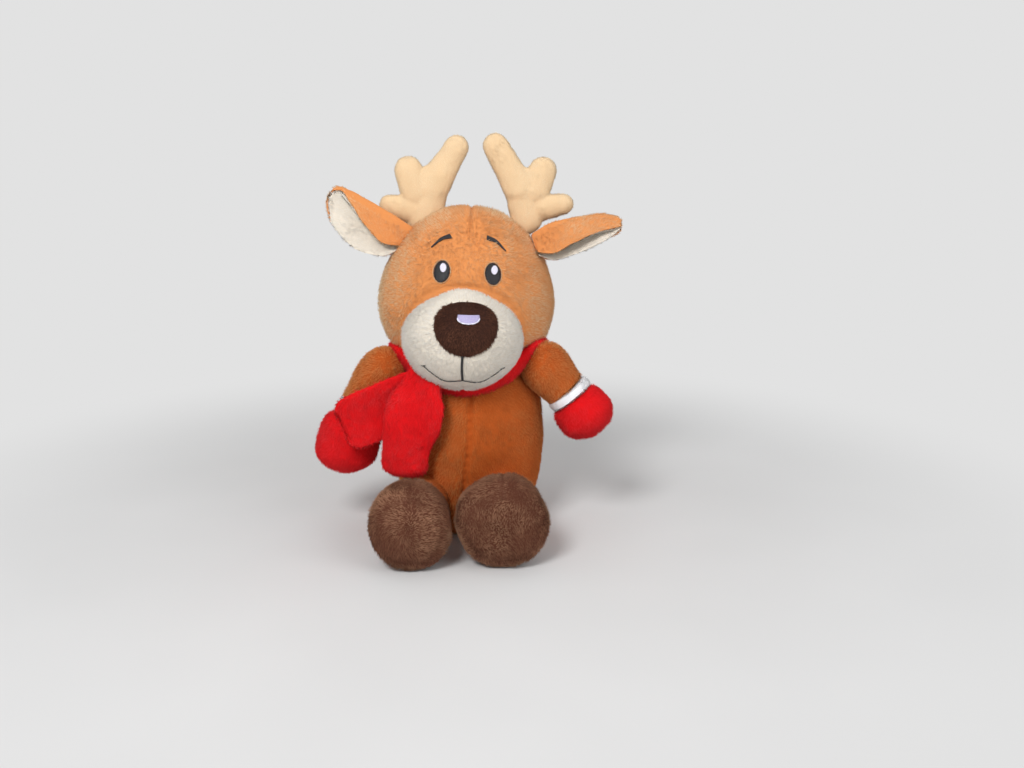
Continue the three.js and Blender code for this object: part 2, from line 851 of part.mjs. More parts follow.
// A closed band round the neck, lower in front than behind
function bandForm(room) {
  const halfAcross = neckRadius + bandThickness / 2 + seamGap;
  const halfAlong = torsoDepth / 2 - bandThickness / 2;
  const points = [];
  const faces = [];
  for (let i = 0; i < bandSteps; i += 1) {
    const turn = (i / bandSteps) * 2 * Math.PI;
    const out = new THREE.Vector3(Math.cos(turn), Math.sin(turn), 0);
    const level = neckPivot.z + bandHeight / 2 + out.y * bandHeight / 6;
    for (let j = 0; j < bandSides; j += 1) {
      const angle = (j / bandSides) * 2 * Math.PI;
      const grow = Math.cos(angle) * (bandThickness / 2 + room);
      points.push(new THREE.Vector3(
        out.x * (halfAcross + grow),
        -torsoForward + out.y * (halfAlong + grow),
        level + Math.sin(angle) * (bandHeight / 2 + room),
      ));
    }
  }
  for (let i = 0; i < bandSteps; i += 1) {
    for (let j = 0; j < bandSides; j += 1) {
      const a = i * bandSides + j;
      const b = i * bandSides + (j + 1) % bandSides;
      const c = ((i + 1) % bandSteps) * bandSides + j;
      const d = ((i + 1) % bandSteps) * bandSides + (j + 1) % bandSides;
      faces.push(a, c, b, b, c, d);
    }
  }
  const geometry = new THREE.BufferGeometry();
  geometry.setFromPoints(points);
  geometry.setIndex(faces);
  return toSolid(geometry);
}

function tailSpine(root, shares, length) {
  return new THREE.CatmullRomCurve3(shares.map(([aside, backward, upward]) => new THREE.Vector3(
    root.x + aside * length,
    root.y + backward * length,
    root.z + upward * length,
  )));
}

// A flat double layer of cloth with one soft fold along it
function scarfTail({ spine, across, fold }) {
  const rings = scarfPlaceShares.map((at, i) => ({
    at,
    halfWidth: scarfWidth / 2 - scarfEdgeShares[i] * scarfThickness,
    halfDepth: (1 - 2 * scarfEdgeShares[i]) * scarfThickness / 2,
  }));
  return toSolid(loft({
    spine,
    across,
    rings,
    facets: stripSides,
    roundShare: scarfSquareShare,
    sag: (place, at) => fold * at * Math.sin(Math.PI * place),
  }));
}

function frontTailPivot() {
  const [aside, upward] = frontTailPlaceShares;
  return new THREE.Vector3(
    -aside * torsoWidth,
    -torsoForward - torsoDepth / 2 + scarfThickness / 2,
    upward * torsoHeight,
  );
}

function frontTailForm() {
  const spine = tailSpine(frontTailPivot(), frontTailShares, frontTailLength);
  return scarfTail({ spine, across: new THREE.Vector3(...frontTailAcrossShares), fold: -scarfFold });
}

function sideTailPivot() {
  const shoulder = shoulderPivot(sides[1]);
  return new THREE.Vector3(
    shoulder.x + shoulderRadius / 2,
    shoulder.y - cuffThickness / 2 - scarfThickness / 2 - seamGap,
    shoulder.z - shoulderRadius / 2,
  );
}

function sideTailForm() {
  const spine = tailSpine(sideTailPivot(), sideTailShares, sideTailLength);
  return scarfTail({ spine, across: new THREE.Vector3(...sideTailAcrossShares), fold: scarfFold });
}

// Tail

function tailPivot() {
  return new THREE.Vector3(0, torsoDepth / 2 - torsoForward - tailRootRadius, tailHeight);
}

function tailForm() {
  const root = tailPivot();
  const direction = new THREE.Vector3(0, Math.cos(tailRise), Math.sin(tailRise));
  const spine = new THREE.LineCurve3(
    root.clone().addScaledVector(direction, -tailRootRadius),
    root.clone().addScaledVector(direction, tailLength),
  );
  const length = tailLength + tailRootRadius;
  const rings = halfRoundRings(tailRootRadius, length);
  for (let i = 0; i < tailPlaceShares.length; i += 1) {
    rings.push({
      at: (tailRootRadius + tailPlaceShares[i] * tailLength) / length,
      halfWidth: tailSwellShares[i] * tailWidth / 2,
      halfDepth: tailSwellShares[i] * tailThickness / 2,
    });
  }
  return toSolid(loft({ spine, across: xAxis, rings, facets: smallSides }));
}

// Room for the head

// Head and muzzle as one coarse form that holds the fine one with some room round it
function headBulk(room) {
  const headRoom = room + (cutterGrowth - 1) * headWidth / 2;
  const muzzleRoom = room + (cutterGrowth - 1) * muzzleWidth / 2;
  return headForm(headRoom, cutterSides).add(muzzleForm(muzzleRoom, cutterSides));
}

function headSpace(room) {
  return swept(headBulk(room), neckPivot, xAxis, nodSwing);
}

// The sockets in the torso, in which the limbs' roots turn
function torsoSockets(gap, facets = socketSides) {
  const limbs = sides.flatMap((side) => [
    socketBall(shoulderPivot(side), shoulderRadius + gap, facets),
    socketBall(hipPivot(side), legThickness / 2 + gap, facets),
  ]);
  return [...limbs, socketBall(tailPivot(), tailRootRadius + gap, facets)];
}

// The sockets in the head for the roots of the ears and antlers
function headSockets(gap, facets = socketSides) {
  return sides.flatMap((side) => [
    socketBall(earPivot(side), earRootRadius + gap, facets),
    socketBall(antlerPivot(side), antlerRootRadius + gap, facets),
  ]);
}

// Coarse torso that holds the fine one with some room round it
function torsoBulk(room) {
  return torsoForm(room + (cutterGrowth - 1) * torsoWidth / 2, cutterSides);
}

function torsoOutside() {
  const neck = rootBall(neckPivot, neckRadius, neckSides);
  const body = torsoForm(0).subtract(headSpace(swingRoom)).add(neck);
  return cut(body, [...torsoSockets(seamGap), belowFloor(), bandForm(seamGap)]);
}

// The inside of the cover is a plain egg below the neck, with the neck ball's inside on top
function torsoInside(inset) {
  const hollow = ball({
    centre: new THREE.Vector3(0, -torsoForward, (neckPivot.z - bandHeight / 2) / 2),
    width: torsoWidth * insideShare - 2 * inset,
    depth: torsoDepth * insideShare - 2 * inset,
    height: neckPivot.z - bandHeight / 2 - 2 * inset,
    facets: insideSides,
  });
  const throat = rootBall(neckPivot, neckRadius - inset, insideSides);
  return cut(toSolid(hollow).add(throat), torsoSockets(inset + seamGap, smallSides));
}

function headOutside() {
  return cut(headForm(0), [socketBall(neckPivot, neckRadius + seamGap, neckSides), ...headSockets(seamGap)]);
}

function headInside(inset) {
  const neck = socketBall(neckPivot, neckRadius + seamGap + inset);
  return cut(headForm(-inset, insideSides), [neck, ...headSockets(seamGap + inset, smallSides)]);
}

function pelletBagForm(grow) {
  return toSolid(ball({
    centre: new THREE.Vector3(0, -torsoForward, pelletBagHeight / 2),
    width: pelletBagWidth + 2 * grow,
    depth: pelletBagDepth + 2 * grow,
    height: pelletBagHeight + 2 * grow,
  }));
}

// A swinging piece, less what would run into a fixed form at some angle, with all of its root kept. The
// root turns in a socket of the form, and the fine ball that limits it lies inside that socket's faces.
function clearOf(solid, fixed, { pivot, rootRadius, axis, swing }) {
  const root = solid.intersect(rootBall(pivot, rootRadius + seamGap, turningSides));
  return solid.subtract(sweptBack(fixed, pivot, axis, swing)).add(root);
}

// Materials

function plush(color) {
  return new THREE.MeshStandardMaterial({ color, roughness: 0.95, metalness: 0 });
}

const caramel = plush(0xb5692c);
const cream = plush(0xe6dccb);
const beige = plush(0xd9b98a);
const darkBrown = plush(0x5a3a2a);
const red = plush(0xc8141c);
const fleece = plush(0xf2f0ee);
const thread = plush(0x1c1a1c);
const whiteThread = plush(0xe9e4f0);
const fibre = plush(0xf5f5f2);

// Assembly. Each moving body is a group placed at its pivot, and its pieces hang in it.

const deer = new THREE.Group();
deer.name = 'plush_deer';

function addBody(name, pivot) {
  const body = new THREE.Group();
  body.name = name;
  body.position.copy(pivot);
  deer.add(body);
  return body;
}

function addPiece(body, name, solid, material) {
  const geometry = toGeometry(solid);
  geometry.translate(-body.position.x, -body.position.y, -body.position.z);
  const mesh = new THREE.Mesh(geometry, material.clone());
  mesh.name = name;
  body.add(mesh);
}

function addTorso() {
  const body = addBody('torso', origin);
  const inside = torsoInside(coverThickness + seamGap);
  addPiece(body, 'torso_cover', cut(torsoOutside(), [torsoInside(coverThickness), neckHole()]), caramel);
  addPiece(body, 'torso_filling', inside.subtract(pelletBagForm(seamGap)), fibre);
  addPiece(body, 'pellet_bag', inside.intersect(pelletBagForm(0)), fibre);
}

function addScarf() {
  const neck = addBody('scarf', origin);
  const headAtRest = headForm(seamGap).add(muzzleForm(seamGap));
  addPiece(neck, 'scarf_band', cut(bandForm(0), [headAtRest, ...torsoSockets(seamGap)]), red);
  const behind = [headAtRest, bandForm(seamGap), torsoForm(seamGap)];
  const front = addBody('front_tail', frontTailPivot());
  addPiece(front, 'scarf_front_tail', cut(frontTailForm(), behind), red);
  const side = addBody('side_tail', sideTailPivot());
  addPiece(side, 'scarf_side_tail', cut(sideTailForm(), behind), red);
}

function addHead() {
  const body = addBody('head', neckPivot);
  const face = muzzleForm(0).subtract(headForm(seamGap));
  const nose = noseForm(0).subtract(muzzleForm(seamGap));
  addPiece(body, 'head_cover', cut(headOutside(), [headInside(coverThickness), neckHole()]), caramel);
  addPiece(body, 'head_filling', headInside(coverThickness + seamGap), fibre);
  addPiece(body, 'muzzle', face, cream);
  addPiece(body, 'nose', nose, darkBrown);
  const glintTop = noseForm(seamGap + threadThickness);
  const glint = embroider(glintShape(), noseForm(seamGap), glintTop, noseForward());
  addPiece(body, 'nose_glint', glint, whiteThread);
  const under = muzzleForm(seamGap);
  const over = muzzleForm(seamGap + threadThickness);
  const mouth = join(mouthShapes().map((shape) => embroider(shape, under, over, muzzleForward)));
  addPiece(body, 'mouth_stitching', mouth, thread);
  for (const side of sides) {
    addEye(body, side);
  }
}

function addEye(body, side) {
  const base = headForm(seamGap);
  const eyeTop = headForm(seamGap + threadThickness);
  const glintBase = headForm(2 * seamGap + threadThickness);
  const glintTop = headForm(2 * seamGap + 2 * threadThickness);
  addPiece(body, `eye_${side.name}`, embroider(eyeShape(side), base, eyeTop), thread);
  addPiece(body, `eye_glint_${side.name}`, embroider(eyeGlintShape(side), glintBase, glintTop), whiteThread);
  addPiece(body, `brow_${side.name}`, embroider(browShape(side), base, eyeTop), thread);
}

function addEar(side) {
  const pivot = earPivot(side);
  const body = addBody(`ear_${side.name}`, pivot);
  const turn = { pivot, rootRadius: earRootRadius, axis: yAxis, swing: earSwing };
  const back = earLayer(side, earBackThickness, 0, 1).add(rootBall(pivot, earRootRadius));
  const forward = earBackThickness / 2 + earLiningThickness / 2 + seamGap;
  const behindLining = earLayer(side, earBackThickness + 2 * seamGap, 0, 1);
  const rootSpace = socketBall(pivot, earRootRadius + coverThickness / 2);
  const lining = cut(earLayer(side, earLiningThickness, forward, earLiningShare), [behindLining, rootSpace]);
  addPiece(body, `ear_back_${side.name}`, clearOf(back, headForm(swingRoom), turn), caramel);
  addPiece(body, `ear_lining_${side.name}`, clearOf(lining, headForm(swingRoom), turn), cream);
}

function addAntler(side) {
  const pivot = antlerPivot(side);
  const body = addBody(`antler_${side.name}`, pivot);
  const turn = { pivot, rootRadius: antlerRootRadius, axis: xAxis, swing: antlerSwing };
  addPiece(body, `antler_${side.name}`, clearOf(antlerForm(side), headForm(swingRoom), turn), beige);
}

function addArm(side) {
  const pivot = shoulderPivot(side);
  const body = addBody(`arm_${side.name}`, pivot);
  const swing = armSwing.map((degrees) => -side.sign * degrees);
  const turn = { pivot, rootRadius: shoulderRadius, axis: yAxis, swing };
  const sleeve = clearOf(sleeveForm(side), torsoBulk(swingRoom), turn);
  const underHead = sweptBack(headSpace(swingRoom), pivot, yAxis, swing);
  addPiece(body, `sleeve_${side.name}`, sleeve.subtract(underHead), caramel);
  addPiece(body, `cuff_${side.name}`, cuffForm(side), fleece);
  addPiece(body, `mitten_${side.name}`, mittenForm(side), red);
}

function addLeg(side) {
  const pivot = hipPivot(side);
  const body = addBody(`leg_${side.name}`, pivot);
  const swing = legSwing.map((degrees) => side.sign * degrees);
  const turn = { pivot, rootRadius: legThickness / 2, axis: zAxis, swing };
  addPiece(body, `leg_${side.name}`, clearOf(legForm(side), torsoBulk(swingRoom), turn), caramel);
  addPiece(body, `hoof_${side.name}`, cut(hoofForm(side), [belowFloor()]), darkBrown);
  addPiece(body, `sole_${side.name}`, cut(soleForm(side), [belowFloor()]), darkBrown);
}

function addTail() {
  const pivot = tailPivot();
  const body = addBody('tail', pivot);
  const turn = { pivot, rootRadius: tailRootRadius, axis: xAxis, swing: tailSwing };
  addPiece(body, 'tail', clearOf(tailForm(), torsoBulk(swingRoom), turn), caramel);
}

addTorso();
addScarf();
addHead();
addTail();
for (const side of sides) {
  addEar(side);
  addAntler(side);
  addArm(side);
  addLeg(side);
}

export default deer;
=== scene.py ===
"""Looks of the seated plush deer: covers with seams and a short pile, embroidery, scarf, light, camera.

Sizes are in millimetres and are turned into metres where a mesh is made. +Z is up, the toy faces -Y,
and left and right are its own, so its left side is at +X. Forms are grids of points, closed round
their columns. Each cover has a skin and, on it, a pile of fine tapered strands.
"""

import math
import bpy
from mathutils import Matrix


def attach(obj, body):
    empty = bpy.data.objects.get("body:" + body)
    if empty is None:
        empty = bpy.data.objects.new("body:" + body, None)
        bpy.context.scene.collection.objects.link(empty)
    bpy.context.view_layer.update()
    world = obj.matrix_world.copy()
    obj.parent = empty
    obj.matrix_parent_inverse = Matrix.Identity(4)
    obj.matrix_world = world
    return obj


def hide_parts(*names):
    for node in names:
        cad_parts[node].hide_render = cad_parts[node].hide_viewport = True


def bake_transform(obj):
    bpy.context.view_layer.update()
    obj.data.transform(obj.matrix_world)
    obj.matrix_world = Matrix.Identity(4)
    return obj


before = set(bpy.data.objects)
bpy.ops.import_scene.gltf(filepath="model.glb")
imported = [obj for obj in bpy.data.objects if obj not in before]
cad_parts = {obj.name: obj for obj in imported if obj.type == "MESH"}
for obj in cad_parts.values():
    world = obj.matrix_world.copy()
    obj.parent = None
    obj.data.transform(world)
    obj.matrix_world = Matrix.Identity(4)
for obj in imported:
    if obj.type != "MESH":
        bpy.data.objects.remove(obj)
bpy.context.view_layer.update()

from types import SimpleNamespace

import bpy
import numpy as np
from mathutils import Matrix, Vector
from mathutils.bvhtree import BVHTree

MM = 0.001

# Head: centre and turn of its frame, and its form
HEAD_CENTRE = (0, 6, 139)
HEAD_ROLL = math.radians(3)  # top towards the toy's left
HEAD_YAW = math.radians(1.5)  # face towards the toy's left
HEAD_SIZE = (105, 96, 106)

# Muzzle and nose, in the head's frame
MUZZLE_CENTRE = (-0.8, -42, -16)
MUZZLE_SIZE = (68.5, 64, 60)
NOSE_CENTRE = (0.6, -6.0)
NOSE_SIZE = (35, 27.6)
NOSE_PUFF = 4.2
NOSE_ROOT = 3.5  # how deep the nose's back lies in the muzzle
SHINE_CENTRE = (1.8, 0.4)
SHINE_SIZE = (12.6, 3.8)

# Embroidery, in the head's frame
EYE_SIZE = (8.8, 11.6)
EYE_SPACING = 28.6
EYE_LEVEL = 21.0
EYE_LEAN = math.radians(12)  # tops towards each other
BROW_WIDTH = 2.5
MOUTH_WIDTH = 43.6
MOUTH_LEVEL = -34.7
STITCH_SPACING = 0.42
STITCH_PLACES = 7  # along one laid stitch
THREAD_RADIUS = 0.3

# Torso
TORSO_SIZE = (92, 78, 112)
TORSO_FORWARD = 3

# Arms
SHOULDER = (38.5, -14, 95)
SLEEVE_RADIUS = 15
WRIST_RADIUS = 13
MITTEN_THICKNESS = 30
ARM_SEAM = -11  # the level of y at which a seam runs along the underside

# Legs
HIP = (23, -22, 24)
LEG_RADIUS = 17.5
LEG_LENGTH = 26
HOOF_DEPTH = 41

# Antlers, in the head's frame
ANTLER_FORWARD = 5
ANTLER_VOXEL = 1.1  # of the remesh that fuses the lobes
ANTLER_RELAX = 12  # times that the fused skin is smoothed

# Ears: thickness of the two layers, and their end
EAR_BACK = 2.4
EAR_LINING = 1.8
EAR_REACH = 0.985  # the share of an ear's length at which its layers end

# Scarf
SCARF_THICKNESS = 5.4
BAND_DEPTH = 6.4  # from the neck outwards
BAND_HEIGHT = 12.6
BAND_TUCK = (3.0, 0, 4.5)  # how far the band sinks inwards and down at the sides
BAND_HUG = (45, 38)  # half width and half depth of the neck that it hugs

# Tail
TAIL_ROOT = (0, 29.5, 24)
TAIL_LENGTH = 19
TAIL_RISE = math.radians(35)

# Pile
NAP = 1.0  # how far a skin lies inside the outline of its pile
FLOOR_GAP = 0.2  # how far skins that rest on the floor stay above it
STRAND_GAP = 0.1  # the same for strands
LOWEST_ROOT = 0.8  # the height below which no strand is rooted
STRAND_WIDTH = 0.48
STRAND_ROOT = 0.25  # how deep a strand starts in its skin

# Stage, lamps and camera, in metres
BACKGROUND = 0.76  # strength of the pale background, as bright as the lit floor near the toy
FLOOR_REACH = 4
FLOOR_FADE = (0.16, 0.44)  # distances from the middle over which the floor fades into the background
WORLD_LIGHT = 0.34
LAMPS = (
    # name, place, width and watts
    ("key", (-0.35, -1.0, 0.95), 0.4, 11.4),
    ("fill", (0.9, -0.8, 0.8), 0.9, 4.8),
    ("top", (0, 0.1, 1.1), 0.9, 1.0),
)
LAMP_TARGET = (0, 0, 0.12)
CAMERA_PLACE = (0.027, -0.645, 0.248)
CAMERA_TURN = (math.radians(90 - 14), 0, 0)  # 14 degrees down from level
FOCAL_LENGTH, SENSOR_WIDTH = 38.67, 36  # millimetres

# The arm goes from the top of its shoulder through the cuff's two rims to the mitten's tip
SIDES = (
    SimpleNamespace(
        name="left", sign=1,
        arm=((35.4, -13, 112), (58.6, -15.5, 88.1), (62.9, -16, 82.6), (78.9, -20, 61.9)),
        mitten_width=34.5, hoof_size=(52.5, 53), hoof_centre=21.4, hoof_back=3,
    ),
    SimpleNamespace(
        name="right", sign=-1,
        arm=((-39.5, -14, 111.5), (-62.3, -14, 77.6), (-66.8, -14, 70.2), (-75.5, -14, 36)),
        mitten_width=38.5, hoof_size=(46, 51.5), hoof_centre=29.4, hoof_back=-2,
    ),
)

HEAD_FRAME = (
    Matrix.Translation(HEAD_CENTRE)
    @ Matrix.Rotation(HEAD_ROLL, 4, "Y")
    @ Matrix.Rotation(HEAD_YAW, 4, "Z")
)


# Number helpers

def moved(points, matrix):
    """Points of any array shape (..., 3) taken through a 4 by 4 matrix."""
    m = np.array(matrix)
    return points @ m[:3, :3].T + m[:3, 3]


def in_head(points):
    return moved(points, HEAD_FRAME.inverted())


def unit(vectors):
    return vectors / np.maximum(np.linalg.norm(vectors, axis=-1, keepdims=True), 1e-9)


def full_turn(count):
    return np.linspace(0, 2 * math.pi, count, endpoint=False)


def eased(rows):
    """Shares from 0 to 1, closer together towards both ends."""
    return 0.5 - 0.5 * np.cos(np.linspace(0, math.pi, rows + 1))


def cubic(t, first, last, first_slope, last_slope):
    """The smooth curve between two values with these slopes, at a share t of the way."""
    return (
        first * (1 + 2 * t) * (1 - t) ** 2
        + first_slope * t * (1 - t) ** 2
        + last * t**2 * (3 - 2 * t)
        + last_slope * t**2 * (t - 1)
    )


def smooth_table(at, places, values):
    """A smooth curve through a table, one column or several, that never swings past the table's values."""
    places, values = np.asarray(places, float), np.asarray(values, float)
    step = np.diff(places)
    rise = np.diff(values, axis=0) / step.reshape((-1,) + (1,) * (values.ndim - 1))
    slopes = np.zeros(values.shape)
    slopes[0], slopes[-1] = rise[0], rise[-1]
    same_way = rise[:-1] * rise[1:] > 0
    total = np.where(same_way, rise[:-1] + rise[1:], 1)
    slopes[1:-1] = np.where(same_way, 2 * rise[:-1] * rise[1:] / total, 0)
    i = np.clip(np.searchsorted(places, at, side="right") - 1, 0, len(places) - 2)
    h = step[i]
    t = (at - places[i]) / h
    if values.ndim > 1:
        t, h = (x.reshape(x.shape + (1,) * (values.ndim - 1)) for x in (t, h))
    return cubic(t, values[i], values[i + 1], slopes[i] * h, slopes[i + 1] * h)


def along_spine(points, count=400):
    """A smooth line through points, and its running length."""
    points = np.asarray(points, float)
    at = np.linspace(0, len(points) - 1, count)
    slopes = np.gradient(points, axis=0)
    i = np.minimum(at.astype(int), len(points) - 2)
    t = (at - i)[:, None]
    line = cubic(t, points[i], points[i + 1], slopes[i], slopes[i + 1])
    steps = np.linalg.norm(np.diff(line, axis=0), axis=1)
    return line, np.concatenate([[0], np.cumsum(steps)])


def on_line(line, run, share):
    """Places and directions at shares of a line's length."""
    at = share * run[-1]
    columns = range(line.shape[1])
    middle = np.stack([np.interp(at, run, line[:, k]) for k in columns], axis=1)
    ahead = np.stack([np.interp(at, run, np.gradient(line[:, k])) for k in columns], axis=1)
    return middle, unit(ahead)


def rounded(distance, radius):
    """From 0 at an end to 1 a radius away from it, along a quarter circle."""
    return np.sqrt(1 - (1 - np.clip(distance / radius, 0, 1)) ** 2)


LATTICE_SIZE = 32
LATTICE = np.random.default_rng(7).random((LATTICE_SIZE,) * 3 + (3,)) * 2 - 1


def noise(points, size, shift=0.0):
    """Smooth random vectors, from -1 to 1, that change over about this many millimetres."""
    p = points / size + shift
    low = np.floor(p).astype(int)
    t = p - low
    t = t * t * (3 - 2 * t)
    total = np.zeros(points.shape)
    for corner in np.ndindex(2, 2, 2):
        index = (low + corner) % LATTICE_SIZE
        share = np.prod(np.where(corner, t, 1 - t), axis=-1, keepdims=True)
        total += share * LATTICE[index[..., 0], index[..., 1], index[..., 2]]
    return total


def bell(distance, width):
    return np.exp(-((distance / width) ** 2))


def squared(wave, power):
    return np.sign(wave) * np.abs(wave) ** power


# Forms as grids: rows of points, each row closed round its columns. The first and last row are points.

def ball_grid(centre, size, rows=100, columns=160, shape=None):
    rise = np.linspace(-math.pi / 2, math.pi / 2, rows + 1)[:, None]
    turn = full_turn(columns)[None, :]
    points = np.stack(
        [np.cos(rise) * np.cos(turn), np.cos(rise) * np.sin(turn), np.sin(rise) + 0 * turn], axis=-1
    )
    if shape:
        points = shape(points)
    return points * np.array(size) / 2 + np.array(centre)


def tube_grid(points, profile, across, ends=(0, 0), rows=80, columns=80):
    """Oval rings on a line. profile lists shares of the line with a half width and half depth, and ends
    gives the lengths over which the two ends round off."""
    line, run = along_spine(points)
    places, *halves = zip(*profile)
    share = places[0] + eased(rows) * (places[-1] - places[0])
    middle, tangent = on_line(line, run, share)
    wide = np.array(across, float)
    wide = unit(wide - tangent * (tangent @ wide)[:, None])
    deep = np.cross(tangent, wide)
    half = smooth_table(share, places, np.column_stack(halves))
    for distance, length in ((share - share[0], ends[0]), (share[-1] - share, ends[1])):
        if length:
            half = half * rounded(distance * run[-1], length)[:, None]
    half[[0, -1]] = 0
    turn = full_turn(columns)
    return (
        middle[:, None]
        + wide[:, None] * (half[:, :1] * np.cos(turn))[..., None]
        + deep[:, None] * (half[:, 1:] * np.sin(turn))[..., None]
    )


def sheet_grid(surface, thickness, inset=0.0, rows=90, columns=140, corner=0.08, edge=0.7):
    """A flat bag round a surface, given as a function of two shares: along it and across it."""
    share = eased(rows)
    turn = full_turn(columns)
    across = 0.5 + 0.5 * squared(np.cos(turn), 0.6)
    step = 0.004
    s, v = np.meshgrid(share, across, indexing="ij")
    middle = surface(s, v)
    ahead = surface(np.minimum(s + step, 1), v) - surface(np.maximum(s - step, 0), v)
    aside = surface(s, np.minimum(v + step, 1)) - surface(s, np.maximum(v - step, 0))
    normal = unit(np.cross(ahead, aside))
    closing = np.maximum(rounded(np.minimum(share, 1 - share), corner / 2), 0.05)[:, None]
    out = closing * thickness / 2 * squared(np.sin(turn), edge)[None, :] + inset
    grid = middle + normal * out[..., None]
    grid[0], grid[-1] = grid[0].mean(0), grid[-1].mean(0)
    return grid


# Meshes

def faces_of(rows, columns):
    """Faces of a grid whose first and last rows are points."""
    inner = rows - 2
    base = np.arange(inner - 1)[:, None] * columns
    here = np.arange(columns)[None, :]
    after = (here + 1) % columns
    quads = np.stack([base + here, base + after, base + columns + after, base + columns + here], axis=-1)
    south, north, last = inner * columns, inner * columns + 1, (inner - 1) * columns
    fans = [(south, (k + 1) % columns, k) for k in range(columns)]
    fans += [(north, last + k, last + (k + 1) % columns) for k in range(columns)]
    return quads.reshape(-1, 4).tolist() + fans


def grid_points(grid):
    return np.concatenate([grid[1:-1].reshape(-1, 3), grid[0, :1], grid[-1, :1]])


def new_object(name, data):
    made = bpy.data.objects.new(name, data)
    bpy.context.scene.collection.objects.link(made)
    return made


def mesh_object(name, points, faces):
    """A smooth mesh object from points in millimetres."""
    mesh = bpy.data.meshes.new(name)
    mesh.from_pydata((np.asarray(points) * MM).tolist(), [], faces)
    mesh.polygons.foreach_set("use_smooth", [True] * len(mesh.polygons))
    mesh.update()
    return new_object(name, mesh)


def joined_grids(name, grids, matrix=None):
    points, faces, count = [], [], 0
    for grid in grids:
        points.append(grid_points(grid))
        faces.extend([tuple(int(i) + count for i in f) for f in faces_of(*grid.shape[:2])])
        count += len(points[-1])
    points = np.concatenate(points)
    return mesh_object(name, moved(points, matrix) if matrix else points, faces)


def points_of(piece):
    mesh = piece.data
    points, normals = np.empty(len(mesh.vertices) * 3), np.empty(len(mesh.vertices) * 3)
    mesh.vertices.foreach_get("co", points)
    mesh.vertex_normals.foreach_get("vector", normals)
    return points.reshape(-1, 3) / MM, normals.reshape(-1, 3)


def no_seam(points, outward):
    return np.zeros(len(points))


def cover(name, grid, lumps=(0.7, 24), seam=no_seam, depth=1.3, nap=NAP, on_floor=False):
    """A dressed skin from a grid."""
    return dressed(joined_grids(name, [grid]), lumps, seam, depth, nap, on_floor)


def dressed(piece, lumps, seam, depth, nap, on_floor=False):
    """Gives a skin soft lumps of a height and a length, and draws in its seams by a depth."""
    points, normals = points_of(piece)
    height, length = lumps
    shift = sum(piece.name.encode()) * 0.37
    fine = 0.35 * height * noise(points, length / 3, shift)[:, 1]
    out = height * noise(points, length, shift)[:, 0] + fine
    out -= nap + depth * seam(points, normals) * (1 + 0.2 * np.sin(points[:, 2] * 1.2))
    points = points + normals * out[:, None]
    if on_floor:
        points[:, 2] = np.maximum(points[:, 2], FLOOR_GAP)
    piece.data.vertices.foreach_set("co", (points * MM).ravel())
    piece.data.update()
    return SimpleNamespace(skin=piece, seam=seam)


def tree_of(piece):
    return BVHTree.FromObject(piece, bpy.context.evaluated_depsgraph_get())


def buried(points, covers):
    """Which points, in millimetres, lie inside one of these covers."""
    inside = np.zeros(len(points), bool)
    for other in covers:
        tree = tree_of(other.skin)
        low, high = (np.array(other.skin.bound_box[k][:]) / MM for k in (0, 6))
        near = np.all((points > low) & (points < high), axis=1) & ~inside
        for i in np.flatnonzero(near):
            place, normal, _, _ = tree.find_nearest(Vector(points[i] * MM))
            inside[i] = (Vector(points[i] * MM) - place).dot(normal) < 0
    return inside


def scattered(piece, density, rng):
    """Places on a skin and their outward directions, this many to a square millimetre."""
    mesh = piece.data
    mesh.calc_loop_triangles()
    corners = np.empty(len(mesh.loop_triangles) * 3, int)
    mesh.loop_triangles.foreach_get("vertices", corners)
    corners = corners.reshape(-1, 3)
    points, normals = points_of(piece)
    a, b, c = (points[corners[:, k]] for k in range(3))
    areas = np.linalg.norm(np.cross(b - a, c - a), axis=1) / 2
    count = int(areas.sum() * density)
    chosen = rng.choice(len(areas), count, p=areas / areas.sum())
    share = rng.random((count, 2))
    share = np.where(share.sum(1, keepdims=True) > 1, 1 - share, share)
    weights = np.column_stack([1 - share.sum(1), share])[..., None]
    return (points[corners[chosen]] * weights).sum(1), unit((normals[corners[chosen]] * weights).sum(1))


